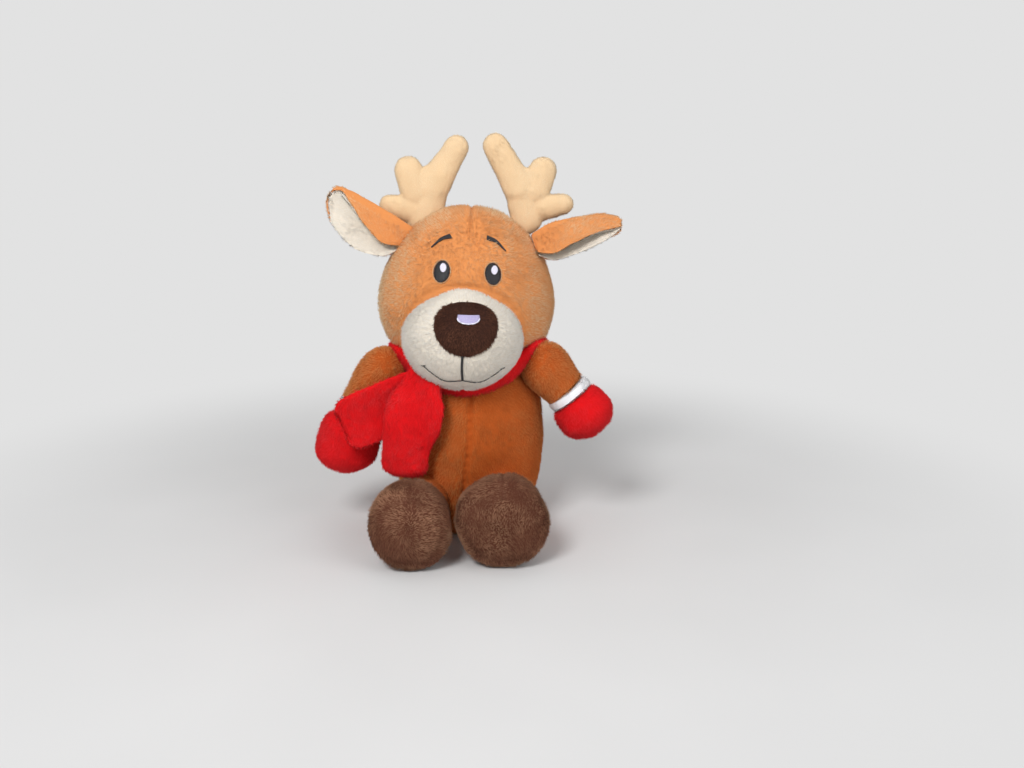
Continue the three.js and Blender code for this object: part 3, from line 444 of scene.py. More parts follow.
def pile(form, lay, length=1.9, density=1.8, lean=1.5, ruffle=0.5, patch=22, patchiness=0.7, under=(),
         bare=None, shade=None, mottle=0.8, *, seed):
    """Fine closed strands on a cover. lay gives the way that they lean, lean how much, and ruffle and
    patchiness how much single strands and whole patches stray from it. under are covers that hide some,
    bare tells where none grow, and shade paints light and shade, making places paler, above 0, or deeper.
    At seams the strands are painted deeper, as painted shade in the seams' grooves."""
    rng = np.random.default_rng(seed)
    roots, outward = scattered(form.skin, density, rng)
    keep = roots[:, 2] > LOWEST_ROOT
    if bare:
        keep &= ~bare(roots)
    keep[keep] = ~buried(roots[keep], under)
    roots, outward = roots[keep], outward[keep]
    count = len(roots)
    patches = noise(roots, patch, seed)
    seam = form.seam(roots, outward)[:, None]
    way = lay(roots) + patchiness * patches + 0.35 * noise(roots, patch / 4, seed + 3)
    way = way - outward * (way * outward).sum(1, keepdims=True)
    direction = unit(outward + lean * way + 0.4 * ruffle * rng.normal(size=(count, 3)))
    long = length * (0.65 + 0.7 * rng.random((count, 1))) * (1 - 0.7 * seam)
    aside = unit(np.cross(direction, rng.normal(size=(count, 3))))
    other = np.cross(direction, aside)
    turns = [2 * math.pi * k / 3 for k in range(3)]
    foot = [aside * math.cos(turn) + other * math.sin(turn) for turn in turns]
    corners = [roots - outward * STRAND_ROOT + side * STRAND_WIDTH / 2 for side in foot]
    corners.append(roots + direction * long)
    points = np.stack(corners, axis=1)
    points[..., 2] = np.maximum(points[..., 2], STRAND_GAP)
    base = np.arange(count)[:, None] * 4
    faces = np.concatenate([base + np.array(f) for f in ((0, 1, 3), (1, 2, 3), (2, 0, 3), (0, 2, 1))])
    piece = mesh_object(form.skin.name.replace("skin", "pile"), points.reshape(-1, 3), faces.tolist())
    spread = np.stack([*foot, direction], axis=1)
    normals = unit(outward[:, None] + 0.35 * spread)
    piece.data.normals_split_custom_set_from_vertices(normals.reshape(-1, 3).tolist())
    fine = 0.45 * noise(roots, patch / 4, seed + 5)[:, 0]
    # Painted shade in the seams' grooves: there the tone is deeper, and the tips keep more of the root's
    # painted shade.
    tone = 0.45 + mottle * (patches[:, 2] + fine) - 0.6 * seam[:, 0]
    if shade:
        tone += shade(roots)
    # rise is 0 at the roots, which the material paints with painted shade, and 1 at the tips.
    store(piece, "rise", np.tile([0.0, 0.0, 0.0, 1.0], count) * np.repeat(1 - 0.6 * seam[:, 0], 4))
    store(piece, "fleck", np.repeat(rng.random(count), 4))
    store(piece, "tone", np.repeat(np.clip(tone, 0, 1), 4))
    return piece


def store(piece, name, values):
    attribute = piece.data.attributes.new(name, "FLOAT", "POINT")
    attribute.data.foreach_set("value", values.astype(np.float32))


# Materials

def nodes_for(name):
    material = bpy.data.materials.new(name)
    material.use_nodes = True
    tree = material.node_tree
    return material, tree, tree.nodes["Principled BSDF"]


def fill_inputs(tree, node, inputs):
    """Sets a node's inputs. Each is a socket to link or a constant."""
    for name, value in inputs.items():
        if isinstance(value, bpy.types.NodeSocket):
            tree.links.new(value, node.inputs[name])
        else:
            node.inputs[name].default_value = value


def add_node(tree, kind, inputs, output=0, **settings):
    """A new node with these inputs and settings. Gives one of its outputs."""
    node = tree.nodes.new("ShaderNode" + kind)
    for name, value in settings.items():
        setattr(node, name, value)
    fill_inputs(tree, node, inputs)
    return node.outputs[output]


def mixed(tree, factor, first, second):
    """A colour mix. Each input is a socket or a constant."""
    return add_node(tree, "Mix", {0: factor, 6: first, 7: second}, 2, data_type="RGBA")


def fine_noise(tree, scale, detail=3.0):
    """Noise in the object's own space. scale is waves per metre."""
    place = add_node(tree, "TexCoord", {}, "Object")
    return add_node(tree, "TexNoise", {"Scale": scale, "Detail": detail, "Vector": place}, "Fac")


def ramp(tree, factor, low, high, start, end):
    node = tree.nodes.new("ShaderNodeValToRGB")
    tree.links.new(factor, node.inputs["Fac"])
    first, last = node.color_ramp.elements
    first.position, first.color = start, low
    last.position, last.color = end, high
    return node.outputs["Color"]


def attribute(tree, name):
    return add_node(tree, "Attribute", {}, "Fac", attribute_name=name)


def linear(*values):
    """A colour given in the usual 0 to 255 values, as the renderer's linear one."""
    shares = [value / 255 for value in values]
    return (*(s / 12.92 if s <= 0.04045 else ((s + 0.055) / 1.055) ** 2.4 for s in shares), 1)


BLACK, WHITE = (0, 0, 0, 1), (1, 1, 1, 1)


def plush(name, slot, root, deep, pale, sheen=0.3):
    """Pile fabric: painted shade at the roots and on the bare skin between strands, and from deep to pale
    at the tips, by patch and by strand.
    """
    material, tree, shader = nodes_for(name)
    root, deep, pale = linear(*root), linear(*deep), linear(*pale)
    brushed = mixed(tree, attribute(tree, "tone"), deep, pale)
    cloud = mixed(tree, ramp(tree, fine_noise(tree, 60), BLACK, WHITE, 0.35, 0.75), brushed, pale)
    broad = mixed(tree, 0.3, brushed, cloud)
    strand = mixed(tree, attribute(tree, "fleck"), deep, pale)
    tips = mixed(tree, 0.3, broad, strand)
    height = {"Strength": 0.4, "Distance": 0.0004, "Height": fine_noise(tree, 2400)}
    # The base colour runs by the rise attribute from the root colour, which is painted shade, to the tips.
    fill_inputs(tree, shader, {
        "Base Color": mixed(tree, attribute(tree, "rise"), root, tips), "Roughness": 0.9,
        "Specular IOR Level": 0.2, "Sheen Weight": sheen, "Sheen Roughness": 0.45, "Sheen Tint": pale,
        "Normal": add_node(tree, "Bump", height, "Normal"),
    })
    return material, slot


def thread(name, slot, deep, pale):
    """Satin embroidery thread: slightly glossy, with fine ply lines."""
    material, tree, shader = nodes_for(name)
    ply = ramp(tree, fine_noise(tree, 3000, 2), linear(*deep), linear(*pale), 0.35, 0.75)
    fill_inputs(tree, shader, {"Base Color": ply, "Roughness": 0.42, "Sheen Weight": 0.1})
    return material, slot


# Looks: each a material and its slot
# The first caramel is the head's own painted deeper as painted shade; the torso, sleeves, legs and tail
# take it.
SHADED_CARAMEL = plush("caramel_plush", "body_plush", (186, 86, 28), (208, 100, 32), (246, 172, 106))
HEAD_CARAMEL = plush("head_caramel_plush", "body_plush", (226, 146, 84), (230, 144, 74), (255, 232, 190))
CREAM = plush("cream_plush", "cream_plush", (236, 226, 210), (246, 239, 228), (255, 252, 246))
BEIGE = plush("beige_fleece", "antler_fleece", (236, 204, 162), (242, 215, 176), (249, 232, 204))
DARK = plush("dark_brown_plush", "hoof_plush", (92, 53, 38), (124, 72, 51), (208, 158, 124), 0.1)
NOSE_BROWN = plush("nose_plush", "nose_plush", (56, 32, 24), (84, 49, 36), (136, 90, 68))
RED = plush("red_plush", "scarf_plush", (228, 12, 20), (246, 20, 28), (255, 74, 78))
FLEECE = plush("white_fleece", "cuff_fleece", (240, 240, 243), (248, 248, 250), (255, 255, 255), 0.2)
BLACK_THREAD = thread("black_thread", "dark_thread", (10, 9, 11), (34, 32, 36))
# The eyes' satin fill: near black, painted a little paler than the black edge as painted sheen of glossy
# thread.
CHARCOAL_THREAD = thread("charcoal_thread", "dark_thread", (18, 18, 21), (44, 44, 49))
LAVENDER_THREAD = thread("lavender_thread", "white_thread", (176, 166, 208), (214, 206, 236))
WHITE_THREAD = thread("white_thread", "white_thread", (222, 218, 240), (252, 251, 255))
# A pale ring round each eye stands for the pile's parted edge there: painted light, paler where no pile
# shades it.
PAINTED_LIGHT_THREAD = thread("pale_thread", "white_thread", (196, 150, 104), (226, 190, 148))
FIBRE, _ = plush("fibre", None, (226, 226, 222), (240, 240, 238), (250, 250, 250))


def finish_piece(piece, look, body, replaced=(), zone=None):
    """Gives a piece its material and hides the solids that it stands for. A zone names the body that its
    root is sewn to and where a bend would start and end; with one, the piece only has its place baked into
    its mesh and gets no body."""
    material, slot = look
    piece.data.materials.append(material)
    if zone:
        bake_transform(piece)
    else:
        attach(piece, body)
    if replaced:
        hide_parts(*replaced)
    return piece


def finish_cover(form, look, body, zone, fill, lay, replaced=(), **fur):
    """Grows the pile of a cover, by the values that pile names, and finishes both. Unless others are
    named, it replaces the solid that has the skin's own name."""
    strands = pile(form, lay, **fur)
    finish_piece(form.skin, look, body, replaced or [form.skin.name.replace("_skin", "")], zone)
    finish_piece(strands, look, body, (), zone)
    return strands


# Ways that the pile lies

def towards(*way):
    return lambda points: np.tile(np.array(way, float), (len(points), 1))


def away_from(centre):
    return lambda points: unit(points - np.array(centre))


# Torso

TORSO_PROFILE = (
    # share of the height, and of the width there
    (0, 0.5), (0.012, 0.6), (0.04, 0.7), (0.1, 0.8), (0.22, 0.9), (0.36, 0.975), (0.52, 1), (0.67, 0.975),
    (0.79, 0.9), (0.87, 0.79), (0.94, 0.6), (0.985, 0.36), (1, 0.2),
)


def torso_grid():
    width, depth, height = TORSO_SIZE
    share = eased(120)
    swell = smooth_table(share, *zip(*TORSO_PROFILE))[:, None]
    swell[[0, -1]] = 0
    turn = full_turn(180)
    x, y = swell * np.cos(turn) * width / 2, swell * np.sin(turn) * depth / 2 - TORSO_FORWARD
    return np.stack([x, y, share[:, None] * height + 0 * turn], axis=-1)


def middle_seam(z):
    """How far the torso's front seam lies to the side."""
    return np.interp(z, (30, 50, 64, 88), (-1.6, 0.6, 2.6, 3.2))


def torso_seam(points, outward):
    x, y, z = points.T
    front = bell(x - middle_seam(z), 1.3) * (z < 96)
    side = bell(y + TORSO_FORWARD + 9 - 3 * np.sin(z / 24), 1.1) * (z < 92) * (np.abs(x) > 20)
    return np.maximum(front, side)


def torso_painted_light(points):
    """The pile of the two front halves lies apart; the half that catches the light is painted paler and the
    other deeper, and the top, under the head, is painted deeper as painted shade.
    """
    x, y, z = points.T
    return np.where(x < middle_seam(z), 0.3, -0.25) * (y < -8) - 0.15 * (z > 80)


def torso_lay(points):
    """The pile leans down, and away from the middle."""
    aside = 0.5 * np.sign(points[:, 0] - 2)
    return np.stack([aside, 0 * aside, -0.9 + 0 * aside], axis=1)


def make_torso(head, limbs):
    torso = cover("torso_skin", torso_grid(), (1.0, 26), torso_seam, 2.1, on_floor=True)
    finish_cover(torso, SHADED_CARAMEL, "torso", None, 0.8, torso_lay, ["torso_cover"], density=1.75,
                 under=[head, *limbs], shade=torso_painted_light, seed=11)
    return torso


# Head, muzzle and nose

def cheeks(points):
    low = np.maximum(0, 1 - ((points[..., 2] + 0.3) / 0.7) ** 2)
    high = np.maximum(0, points[..., 2])
    return points * np.stack([0.99 + 0.02 * low, 1 - 0.02 * low, 1 + 0.05 * high**2], axis=-1)


def narrow_top(points):
    """The muzzle is narrower at the top, and a little flat there on both sides of the middle."""
    high = np.maximum(0, points[..., 2])
    side = bell(np.abs(points[..., 0]) - 0.55, 0.22) * high
    return points * np.stack([1 - 0.1 * high**2, 1 + 0 * high, 1 - 0.035 * side], axis=-1)


def level_of(points, centre, size):
    """How far points lie outside an oval ball's surface, below 0 inside."""
    p = (points - np.array(centre)) / (np.array(size) / 2)
    return (np.linalg.norm(p, axis=-1) - 1) * min(size) / 2


def head_seam(points, outward):
    local = in_head(points)
    x, y, z = local.T
    crown = bell(x - 0.5, 1.1) * np.where(y > 0, 1, np.clip((z - 38) / 9, 0, 1))
    across = 0.7 * bell(y - 9 - 4 * np.cos(z / 24), 1.1)
    return np.maximum.reduce([crown, across, bell(level_of(local, MUZZLE_CENTRE, MUZZLE_SIZE), 2.0)])


def muzzle_seam(points, outward):
    local = in_head(points)
    chin = 0.3 * bell(local[:, 0], 1.4) * (local[:, 2] < -36)
    return np.maximum(bell(level_of(local, (0, 0, 0), HEAD_SIZE), 2.0), chin)


NOSE_OUTLINE = (
    # height from the middle, as a share of half the height, and half width as a share of half the width
    (-1, 0.24), (-0.94, 0.45), (-0.8, 0.66), (-0.5, 0.86), (-0.15, 0.97), (0.2, 1), (0.55, 0.94),
    (0.8, 0.8), (0.93, 0.62), (1, 0.42),
)


def nose_grid(muzzle_front):
    """A puffed patch on the muzzle, widest near its top, with its back inside the muzzle."""
    rows, back_rows, columns = 40, 8, 120
    turn = full_turn(columns)
    out = np.concatenate([np.sin(np.linspace(0, math.pi / 2, rows)), np.linspace(1, 0, back_rows)[1:]])
    rim_z = np.sin(turn)
    rim_x = np.sign(np.cos(turn)) * smooth_table(rim_z, *zip(*NOSE_OUTLINE)) * np.abs(np.cos(turn)) ** 0.35
    x = NOSE_CENTRE[0] + out[:, None] * rim_x * NOSE_SIZE[0] / 2
    z = NOSE_CENTRE[1] + out[:, None] * rim_z * NOSE_SIZE[1] / 2
    bulge = NOSE_PUFF * np.sqrt(np.maximum(0, 1 - out**2)) ** 0.9 - 0.5
    bulge[rows:] = -NOSE_ROOT
    grid = np.stack([x, muzzle_front(x, z) - bulge[:, None], z], axis=-1)
    grid[0], grid[-1] = grid[0].mean(0), grid[-1].mean(0)
    return moved(grid[:, ::-1], HEAD_FRAME)


def front_of(piece):
    """A function that gives how far back a piece's front lies, at places in the head's frame."""
    tree = tree_of(piece)
    far = -120.0
    way = HEAD_FRAME.to_3x3() @ Vector((0, 1, 0))

    def front(x, z):
        y = np.empty(np.shape(x))
        for index in np.ndindex(y.shape):
            start = HEAD_FRAME @ Vector((x[index], far, z[index]))
            place, _, _, distance = tree.ray_cast(start * MM, way)
            y[index] = far + distance / MM if place else 0
        return y
    return front


def eye_oval(side, grow=0.0):
    return {
        "centre": (side.sign * EYE_SPACING / 2, EYE_LEVEL),
        "size": (EYE_SIZE[0] + 2 * grow, EYE_SIZE[1] + 2 * grow),
        "lean": -side.sign * EYE_LEAN,
    }


def in_oval(x, z, centre, size, lean=0.0):
    a, b = x - centre[0], z - centre[1]
    across, upward = a * math.cos(lean) - b * math.sin(lean), a * math.sin(lean) + b * math.cos(lean)
    return (2 * across / size[0]) ** 2 + (2 * upward / size[1]) ** 2 < 1


def brow_line(side):
    x, z = side.sign * EYE_SPACING * 0.35, EYE_LEVEL + EYE_SIZE[1] * 1.62
    return [(x, z), (x + side.sign * 5.4, z - 1.9), (x + side.sign * 10.8, z - 6.6)]


def mouth_lines():
    top = (NOSE_CENTRE[0] - 1.2, NOSE_CENTRE[1] - NOSE_SIZE[1] / 2 + 0.4)
    fork = (0, MOUTH_LEVEL)
    lines = [[top, ((top[0] + fork[0]) / 2 - 0.3, (top[1] + fork[1]) / 2), fork]]
    for side in SIDES:
        reach = side.sign * MOUTH_WIDTH / 2
        lines.append([fork, (reach * 0.45, MOUTH_LEVEL - 1.4), (reach * 0.8, MOUTH_LEVEL + 3),
                      (reach, MOUTH_LEVEL + 6.4)])
    return lines


def near_line(x, z, points, reach):
    line, _ = along_spine(points, 60)
    return np.min(np.hypot(x[:, None] - line[:, 0], z[:, None] - line[:, 1]), axis=1) < reach


def head_bare(points):
    x, y, z = in_head(points).T
    eyes = [in_oval(x, z, **eye_oval(side, 0.6)) for side in SIDES]
    brows = [near_line(x, z, brow_line(side), BROW_WIDTH * 0.45) for side in SIDES]
    return np.any(eyes + brows, axis=0) & (y < 0)


def muzzle_bare(points):
    x, y, z = in_head(points).T
    return np.any([near_line(x, z, line, 0.45) for line in mouth_lines()], axis=0) & (y < -30)


def nose_bare(points):
    x, _, z = in_head(points).T
    return in_oval(x, z, SHINE_CENTRE, SHINE_SIZE)


def head_painted_light(points):
    """Painted light: the cheeks, at the sides, and the crown, lit from above, are painted paler as painted
    sheen, and the hollows round the eyes are painted deeper as painted shade.
    """
    x, _, z = in_head(points).T
    cheek = np.clip((np.abs(x) - 26) / 16, 0, 1) * np.clip((24 - z) / 20, 0, 1)
    crown, eye = np.clip((z - 40) / 8, 0, 1), bell(np.hypot(np.abs(x) - 17, z - 20), 16)
    return 0.4 * cheek + 0.25 * crown - 0.2 * eye


def make_head(head, muzzle):
    finish_cover(head, HEAD_CARAMEL, "head", None, 0.9, towards(0, 0.55, -0.7), ["head_cover"],
                 density=1.45, patch=19, patchiness=0.9, under=[muzzle], bare=head_bare, shade=head_painted_light,
                 mottle=1.0, seed=21)
    nose = SimpleNamespace(skin=joined_grids("nose_skin", [nose_grid(front_of(muzzle.skin))]), seam=no_seam)
    middle = HEAD_FRAME @ Vector((NOSE_CENTRE[0], -74, NOSE_CENTRE[1]))
    finish_cover(muzzle, CREAM, "head", None, 0.9, away_from(middle), density=2.2, under=[head, nose],
                 bare=muzzle_bare, seed=22)
    finish_cover(nose, NOSE_BROWN, "head", None, 0.7, towards(0.2, 0, -1), length=1.5, density=3.2,
                 patch=12, under=[muzzle], bare=nose_bare, seed=23)
    return nose


# Embroidery: rows of laid stitches on a surface

def add_threads(name, rows, front, look, replaced=(), radius=THREAD_RADIUS, lift=0.3, arch=0.35):
    """Stitches as one mesh. Each row is two or more places (x, z) in the head's frame, lift is how far its
    ends stand off the surface, and arch how much farther its middle does."""
    grids = []
    shares = np.linspace(0, 1, STITCH_PLACES)
    profile = [(share, radius, radius) for share in (0, 0.5, 1)]
    for row in rows:
        line, run = along_spine(row, 30)
        place, _ = on_line(line, run, shares)
        y = front(place[:, 0], place[:, 1]) - lift - arch * np.sin(math.pi * shares)
        points = np.column_stack([place[:, 0], y, place[:, 1]])
        grids.append(tube_grid(points, profile, (0, 1, 0.01), (2 * radius, 2 * radius), 8, 6))
    piece = joined_grids(name, grids, HEAD_FRAME)
    return finish_piece(piece, look, "head", replaced)


def leaning(centre, x, z, lean):
    """A place in an oval's own frame, as a place on the head."""
    return (
        centre[0] + x * math.cos(lean) + z * math.sin(lean),
        centre[1] - x * math.sin(lean) + z * math.cos(lean),
    )


HALF_MOON = ((-1, -0.75, -0.3, 0.3, 1), (0.42, 0.66, 0.9, 1, 0.94))  # levels, and the half widths there


def oval_rows(centre, size, lean=0.0, flat_top=False):
    """Rows across an oval, or across a half moon with a flat top."""
    rows = []
    count = int(size[1] / STITCH_SPACING)
    for k in range(count):
        v = (k + 0.5) / count * 2 - 1
        u = np.interp(v, *HALF_MOON) if flat_top else math.sqrt(1 - v * v)
        rows.append([leaning(centre, edge * size[0] / 2, v * size[1] / 2, lean) for edge in (-u, 0, u)])
    return rows


def line_rows(points, length=2.2):
    """Back stitches end to end along a line of places."""
    line, run = along_spine(points)
    count = max(1, round(run[-1] / length))
    shares = (np.minimum(np.array([k, k + 0.5, k + 1.1]) / count, 1) for k in range(count))
    return [on_line(line, run, share)[0] for share in shares]


def slant_rows(points, width):
    """Satin stitches across a tapered stroke, laid a little aslant."""
    line, run = along_spine(points)
    rows = []
    for share in np.arange(0.02, 1, STITCH_SPACING / run[-1]):
        place, way = (v[0] for v in on_line(line, run, np.array([share])))
        reach = np.array([way[1], -way[0]]) * (width(share) / 2) + way * 0.4
        rows.append([place - reach, place + reach])
    return rows


def ring_of(centre, size, lean):
    turn = np.linspace(0, 2 * math.pi, 33)
    return np.column_stack(leaning(centre, size[0] / 2 * np.cos(turn), size[1] / 2 * np.sin(turn), lean))


def make_embroidery(head, muzzle, nose):
    on_head, on_muzzle, on_nose = (front_of(form.skin) for form in (head, muzzle, nose))
    for side in SIDES:
        name = side.name
        oval = eye_oval(side)
        edge = line_rows(ring_of(**eye_oval(side, -0.3)), 1.8)
        rim = line_rows(ring_of(**eye_oval(side, 0.5)), 2.4)
        brow = slant_rows(brow_line(side), lambda share: BROW_WIDTH * (1 - 0.75 * share))
        glint = oval_rows(np.add(oval["centre"], (0.7, 2.2)), (3.9, 4.6))
        add_threads(f"eye_thread_{name}", oval_rows(**oval), on_head, CHARCOAL_THREAD, [f"eye_{name}"])
        add_threads(f"eye_edge_{name}", edge, on_head, BLACK_THREAD, (), 0.42, 0.5)
        # The pale ring is painted light: the pile's parted edge round the eye, lit where no pile shades it.
        add_threads(f"eye_rim_{name}", rim, on_head, PAINTED_LIGHT_THREAD, (), 0.26, 0.5, 0.1)
        add_threads(f"eye_glint_thread_{name}", glint, on_head, WHITE_THREAD, [f"eye_glint_{name}"],
                    lift=0.9)
        add_threads(f"brow_thread_{name}", brow, on_head, BLACK_THREAD, [f"brow_{name}"], lift=0.7)
    middle, *corners = mouth_lines()
    rows = slant_rows(middle, lambda share: 1.3)
    for line in corners:
        rows += line_rows(line, 2.6)
        end = np.array(line[-1])
        rows.append([end + (-1.3, -0.2), end + (1.3, 0.2)])
    add_threads("mouth_thread", rows, on_muzzle, BLACK_THREAD, ["mouth_stitching"], 0.32, 0.7)
    shine = oval_rows(SHINE_CENTRE, SHINE_SIZE, flat_top=True)
    add_threads("nose_shine_thread", shine, on_nose, LAVENDER_THREAD, ["nose_glint"], lift=0.8)
    x, z, wide, high = *SHINE_CENTRE, *SHINE_SIZE
    half = ((0.48, 0.1), (0.4, -0.3), (0.22, -0.52))
    edge = [(x - u * wide, z + v * high) for u, v in half] + [(x, z - 0.58 * high)]
    edge += [(x + u * wide, z + v * high) for u, v in half[::-1]]
    add_threads("nose_shine_edge", line_rows(edge, 3.0), on_nose, WHITE_THREAD, (), 0.4, 0.9)


# Arms

def arm_places(side):
    """The shoulder's top, the cuff's two rims and the mitten's tip, and the cuff's direction."""
    top, upper, lower, tip = np.array(side.arm, float)
    return top, upper, lower, tip, unit(lower - upper)


def arm_seam(points, outward):
    """A seam along the underside of an arm."""
    return bell(points[:, 1] - ARM_SEAM, 1.1) * (outward[:, 2] < 0.1)


def arm_covers(side):
    name = side.name
    top, upper, lower, tip, way = arm_places(side)
    r, w = SLEEVE_RADIUS, WRIST_RADIUS
    wide, deep = MITTEN_THICKNESS / 2, side.mitten_width / 2
    shares = ((0, 0.74), (0.08, 0.85), (0.22, 0.96), (0.5, 1), (0.75, 0.97), (1, 0.9))
    bulge = (lower + tip) / 2 + way * 2.5
    sleeve_radii = ((0, r), (0.5, r * 1.04), (0.84, w * 1.08), (1, w))
    sleeve = tube_grid([top, (top + upper) / 2, upper + way * 2], [(s, k, k) for s, k in sleeve_radii],
                       (0, 1, 0), (r, 1.6))
    cuff_radii = ((0, w * 1.05), (0.5, w * 1.09), (1, w * 1.06))
    cuff = tube_grid([upper - way * 0.6, (upper + lower) / 2, lower + way * 0.6],
                     [(s, k, k) for s, k in cuff_radii], (0, 1, 0), (1.8, 1.8), 36, 110)
    mitten = tube_grid([lower - way * 1.5, bulge, tip], [(s, k * wide, k * deep) for s, k in shares],
                       (0, 1, 0), (3, 14), 90, 100)
    return {
        "sleeve": cover(f"sleeve_skin_{name}", sleeve, (0.8, 18), arm_seam),
        "cuff": cover(f"cuff_skin_{name}", cuff, (0.35, 12), nap=0.9),
        "mitten": cover(f"mitten_skin_{name}", mitten, (0.7, 16), arm_seam),
    }


def make_arm(side, covers, torso, head):
    body = f"arm_{side.name}"
    top, upper, _, tip, _ = arm_places(side)
    shoulder = np.array(SHOULDER) * (side.sign, 1, 1)
    zone = ("torso", shoulder + (shoulder - upper) * 0.15, shoulder + (upper - shoulder) * 0.6)
    lay = towards(*unit(tip - top))
    sleeve, cuff, mitten = (covers[part] for part in ("sleeve", "cuff", "mitten"))
    # The sleeves are painted paler than the torso's painted shade, as they lie in the light.
    finish_cover(sleeve, SHADED_CARAMEL, body, zone, 0.8, lay, density=1.9, under=[cuff, torso, head], seed=31,
                 shade=lambda points: np.full(len(points), 0.4))
    finish_cover(cuff, FLEECE, body, None, 0.6, lay, length=1.2, density=3.0, lean=1.1, ruffle=1.0,
                 patch=5, under=[sleeve, mitten], seed=32)
    finish_cover(mitten, RED, body, None, 0.8, lay, density=2.0, under=[cuff], seed=33)


# Legs

def leg_places(side):
    hip = np.array(HIP, float) * (side.sign, 1, 1)
    ankle = np.array([side.sign * side.hoof_centre, HIP[1] - LEG_LENGTH + side.hoof_back,
                      side.hoof_size[1] / 2])
    return hip, ankle


HOOF_PROFILE = (
    # share of the depth, and of the full width there
    (0, 0.6), (0.12, 0.74), (0.3, 0.89), (0.5, 0.97), (0.7, 1), (0.85, 0.99), (1, 0.96),
)


def leg_covers(side):
    name = side.name
    hip, ankle = leg_places(side)
    way = unit(ankle - hip)
    r = LEG_RADIUS
    leg = tube_grid([hip - way * r, (hip + ankle) / 2, ankle + way * 4],
                    [(0, r, r), (0.5, r, r), (1, r * 0.96, r)], (1, 0, 0), (r, 3))
    front = ankle - (0, HOOF_DEPTH, 0)
    wide, high = (size / 2 for size in side.hoof_size)
    profile = [(share, swell * wide, swell * high) for share, swell in HOOF_PROFILE]
    hoof = tube_grid([ankle, (ankle + front) / 2, front], profile, (1, 0, 0), (8, 13), 120, 150)
    sole_at = front[1] + 5.5

    def rim(points, outward):
        crown = 0.8 * bell(points[:, 0] - ankle[0] - 1, 1.1) * (points[:, 2] > 1.6 * high)
        return np.maximum(0.4 * bell(points[:, 1] - sole_at, 1.2), crown)

    return {
        "leg": cover(f"leg_skin_{name}", leg, on_floor=True),
        "hoof": cover(f"hoof_skin_{name}", hoof, (1.1, 17), rim, 1.0, on_floor=True),
    }


def make_leg(side, covers, torso):
    name, body = side.name, f"leg_{side.name}"
    hip, ankle = leg_places(side)
    zone = ("torso", hip + (0, 4, 0), hip + (ankle - hip) * 0.75)
    leg, hoof = covers["leg"], covers["hoof"]
    finish_cover(leg, SHADED_CARAMEL, body, zone, 0.7, away_from(hip), length=2.1, under=[torso, hoof], seed=41)
    finish_cover(hoof, DARK, body, None, 0.8, towards(0.1, 0, -0.5), [f"hoof_{name}", f"sole_{name}"],
                 length=2.0, density=2.5, lean=1.6, ruffle=0.6, patch=18, patchiness=2.2, mottle=1.2,
                 under=[leg], seed=42 + side.sign)


# Antlers

ANTLER_LIMBS = {
    # places (x, z) of a lobe's start and end, the radius at both, and its depth as a share of its width
    "left": (
        ((36.5, 181), (31, 209), 10, 8.2, 0.5), ((33, 200), (16.5, 229.3), 9.5, 6.4, 0.66),
        ((39, 198), (45.6, 214.7), 9, 7.5, 0.62), ((43, 191), (59, 194), 8, 5.2, 0.7),
    ),
    "right": (
        ((-26, 180), (-19, 209), 10.5, 9.4, 0.5), ((-22, 200), (-4.5, 228), 10, 6.3, 0.66),
        ((-28, 197), (-34.2, 215.5), 9.5, 7.3, 0.62), ((-30, 190), (-46.5, 193.5), 8.5, 5.4, 0.7),
    ),
}


def antler_point(x, z):
    """A place on the antlers' middle sheet, in the head's frame."""
    place = in_head(np.array([x, HEAD_CENTRE[1] + ANTLER_FORWARD, z], float))
    place[1] = ANTLER_FORWARD
    return place


def antler_seam(points, outward):
    """The two faces of an antler are sewn together round its outline."""
    return 0.7 * bell(in_head(points)[:, 1] - ANTLER_FORWARD, 1.0)


def antler_cover(side):
    """The lobes as tubes, fused into one skin and relaxed."""
    grids = []
    for start, end, first, last, flat in ANTLER_LIMBS[side.name]:
        a, b = antler_point(*start), antler_point(*end)
        way = unit(b - a)
        a, b = a - way * first * 0.5, b + way * last * 0.85
        profile = ((0, first, first * flat), (1, last, last * flat))
        grids.append(tube_grid([a, (a + b) / 2, b], profile, (1, 0, 0.001), (first, last), 40, 40))
    piece = joined_grids(f"antler_skin_{side.name}", grids, HEAD_FRAME)
    fuse = piece.modifiers.new("fuse", "REMESH")
    fuse.mode, fuse.voxel_size = "VOXEL", ANTLER_VOXEL * MM
    relax = piece.modifiers.new("relax", "SMOOTH")
    relax.factor, relax.iterations = 0.5, ANTLER_RELAX
    mesh = bpy.data.meshes.new_from_object(piece.evaluated_get(bpy.context.evaluated_depsgraph_get()))
    piece.modifiers.clear()
    piece.data = mesh
    mesh.polygons.foreach_set("use_smooth", [True] * len(mesh.polygons))
    return dressed(piece, (0.6, 14), antler_seam, 0.9, -0.6)


def make_antler(side, form, head):
    body = f"antler_{side.name}"
    x, z = ANTLER_LIMBS[side.name][0][0]
    root, bend = (HEAD_FRAME @ Vector(antler_point(x, z + rise)) for rise in (1, 19))
    finish_cover(form, BEIGE, body, ("head", root, bend), 0.9, towards(0, 0, 1), length=0.9, density=2.8,
                 lean=1.2, ruffle=1.0, patch=12, under=[head], seed=51)


# Ears. Each is a leaf folded lengthwise. At shares of its length, a section runs from the lower rim over
# the back and the top to the front rim, which curls over towards the face. Places are x, y and z.

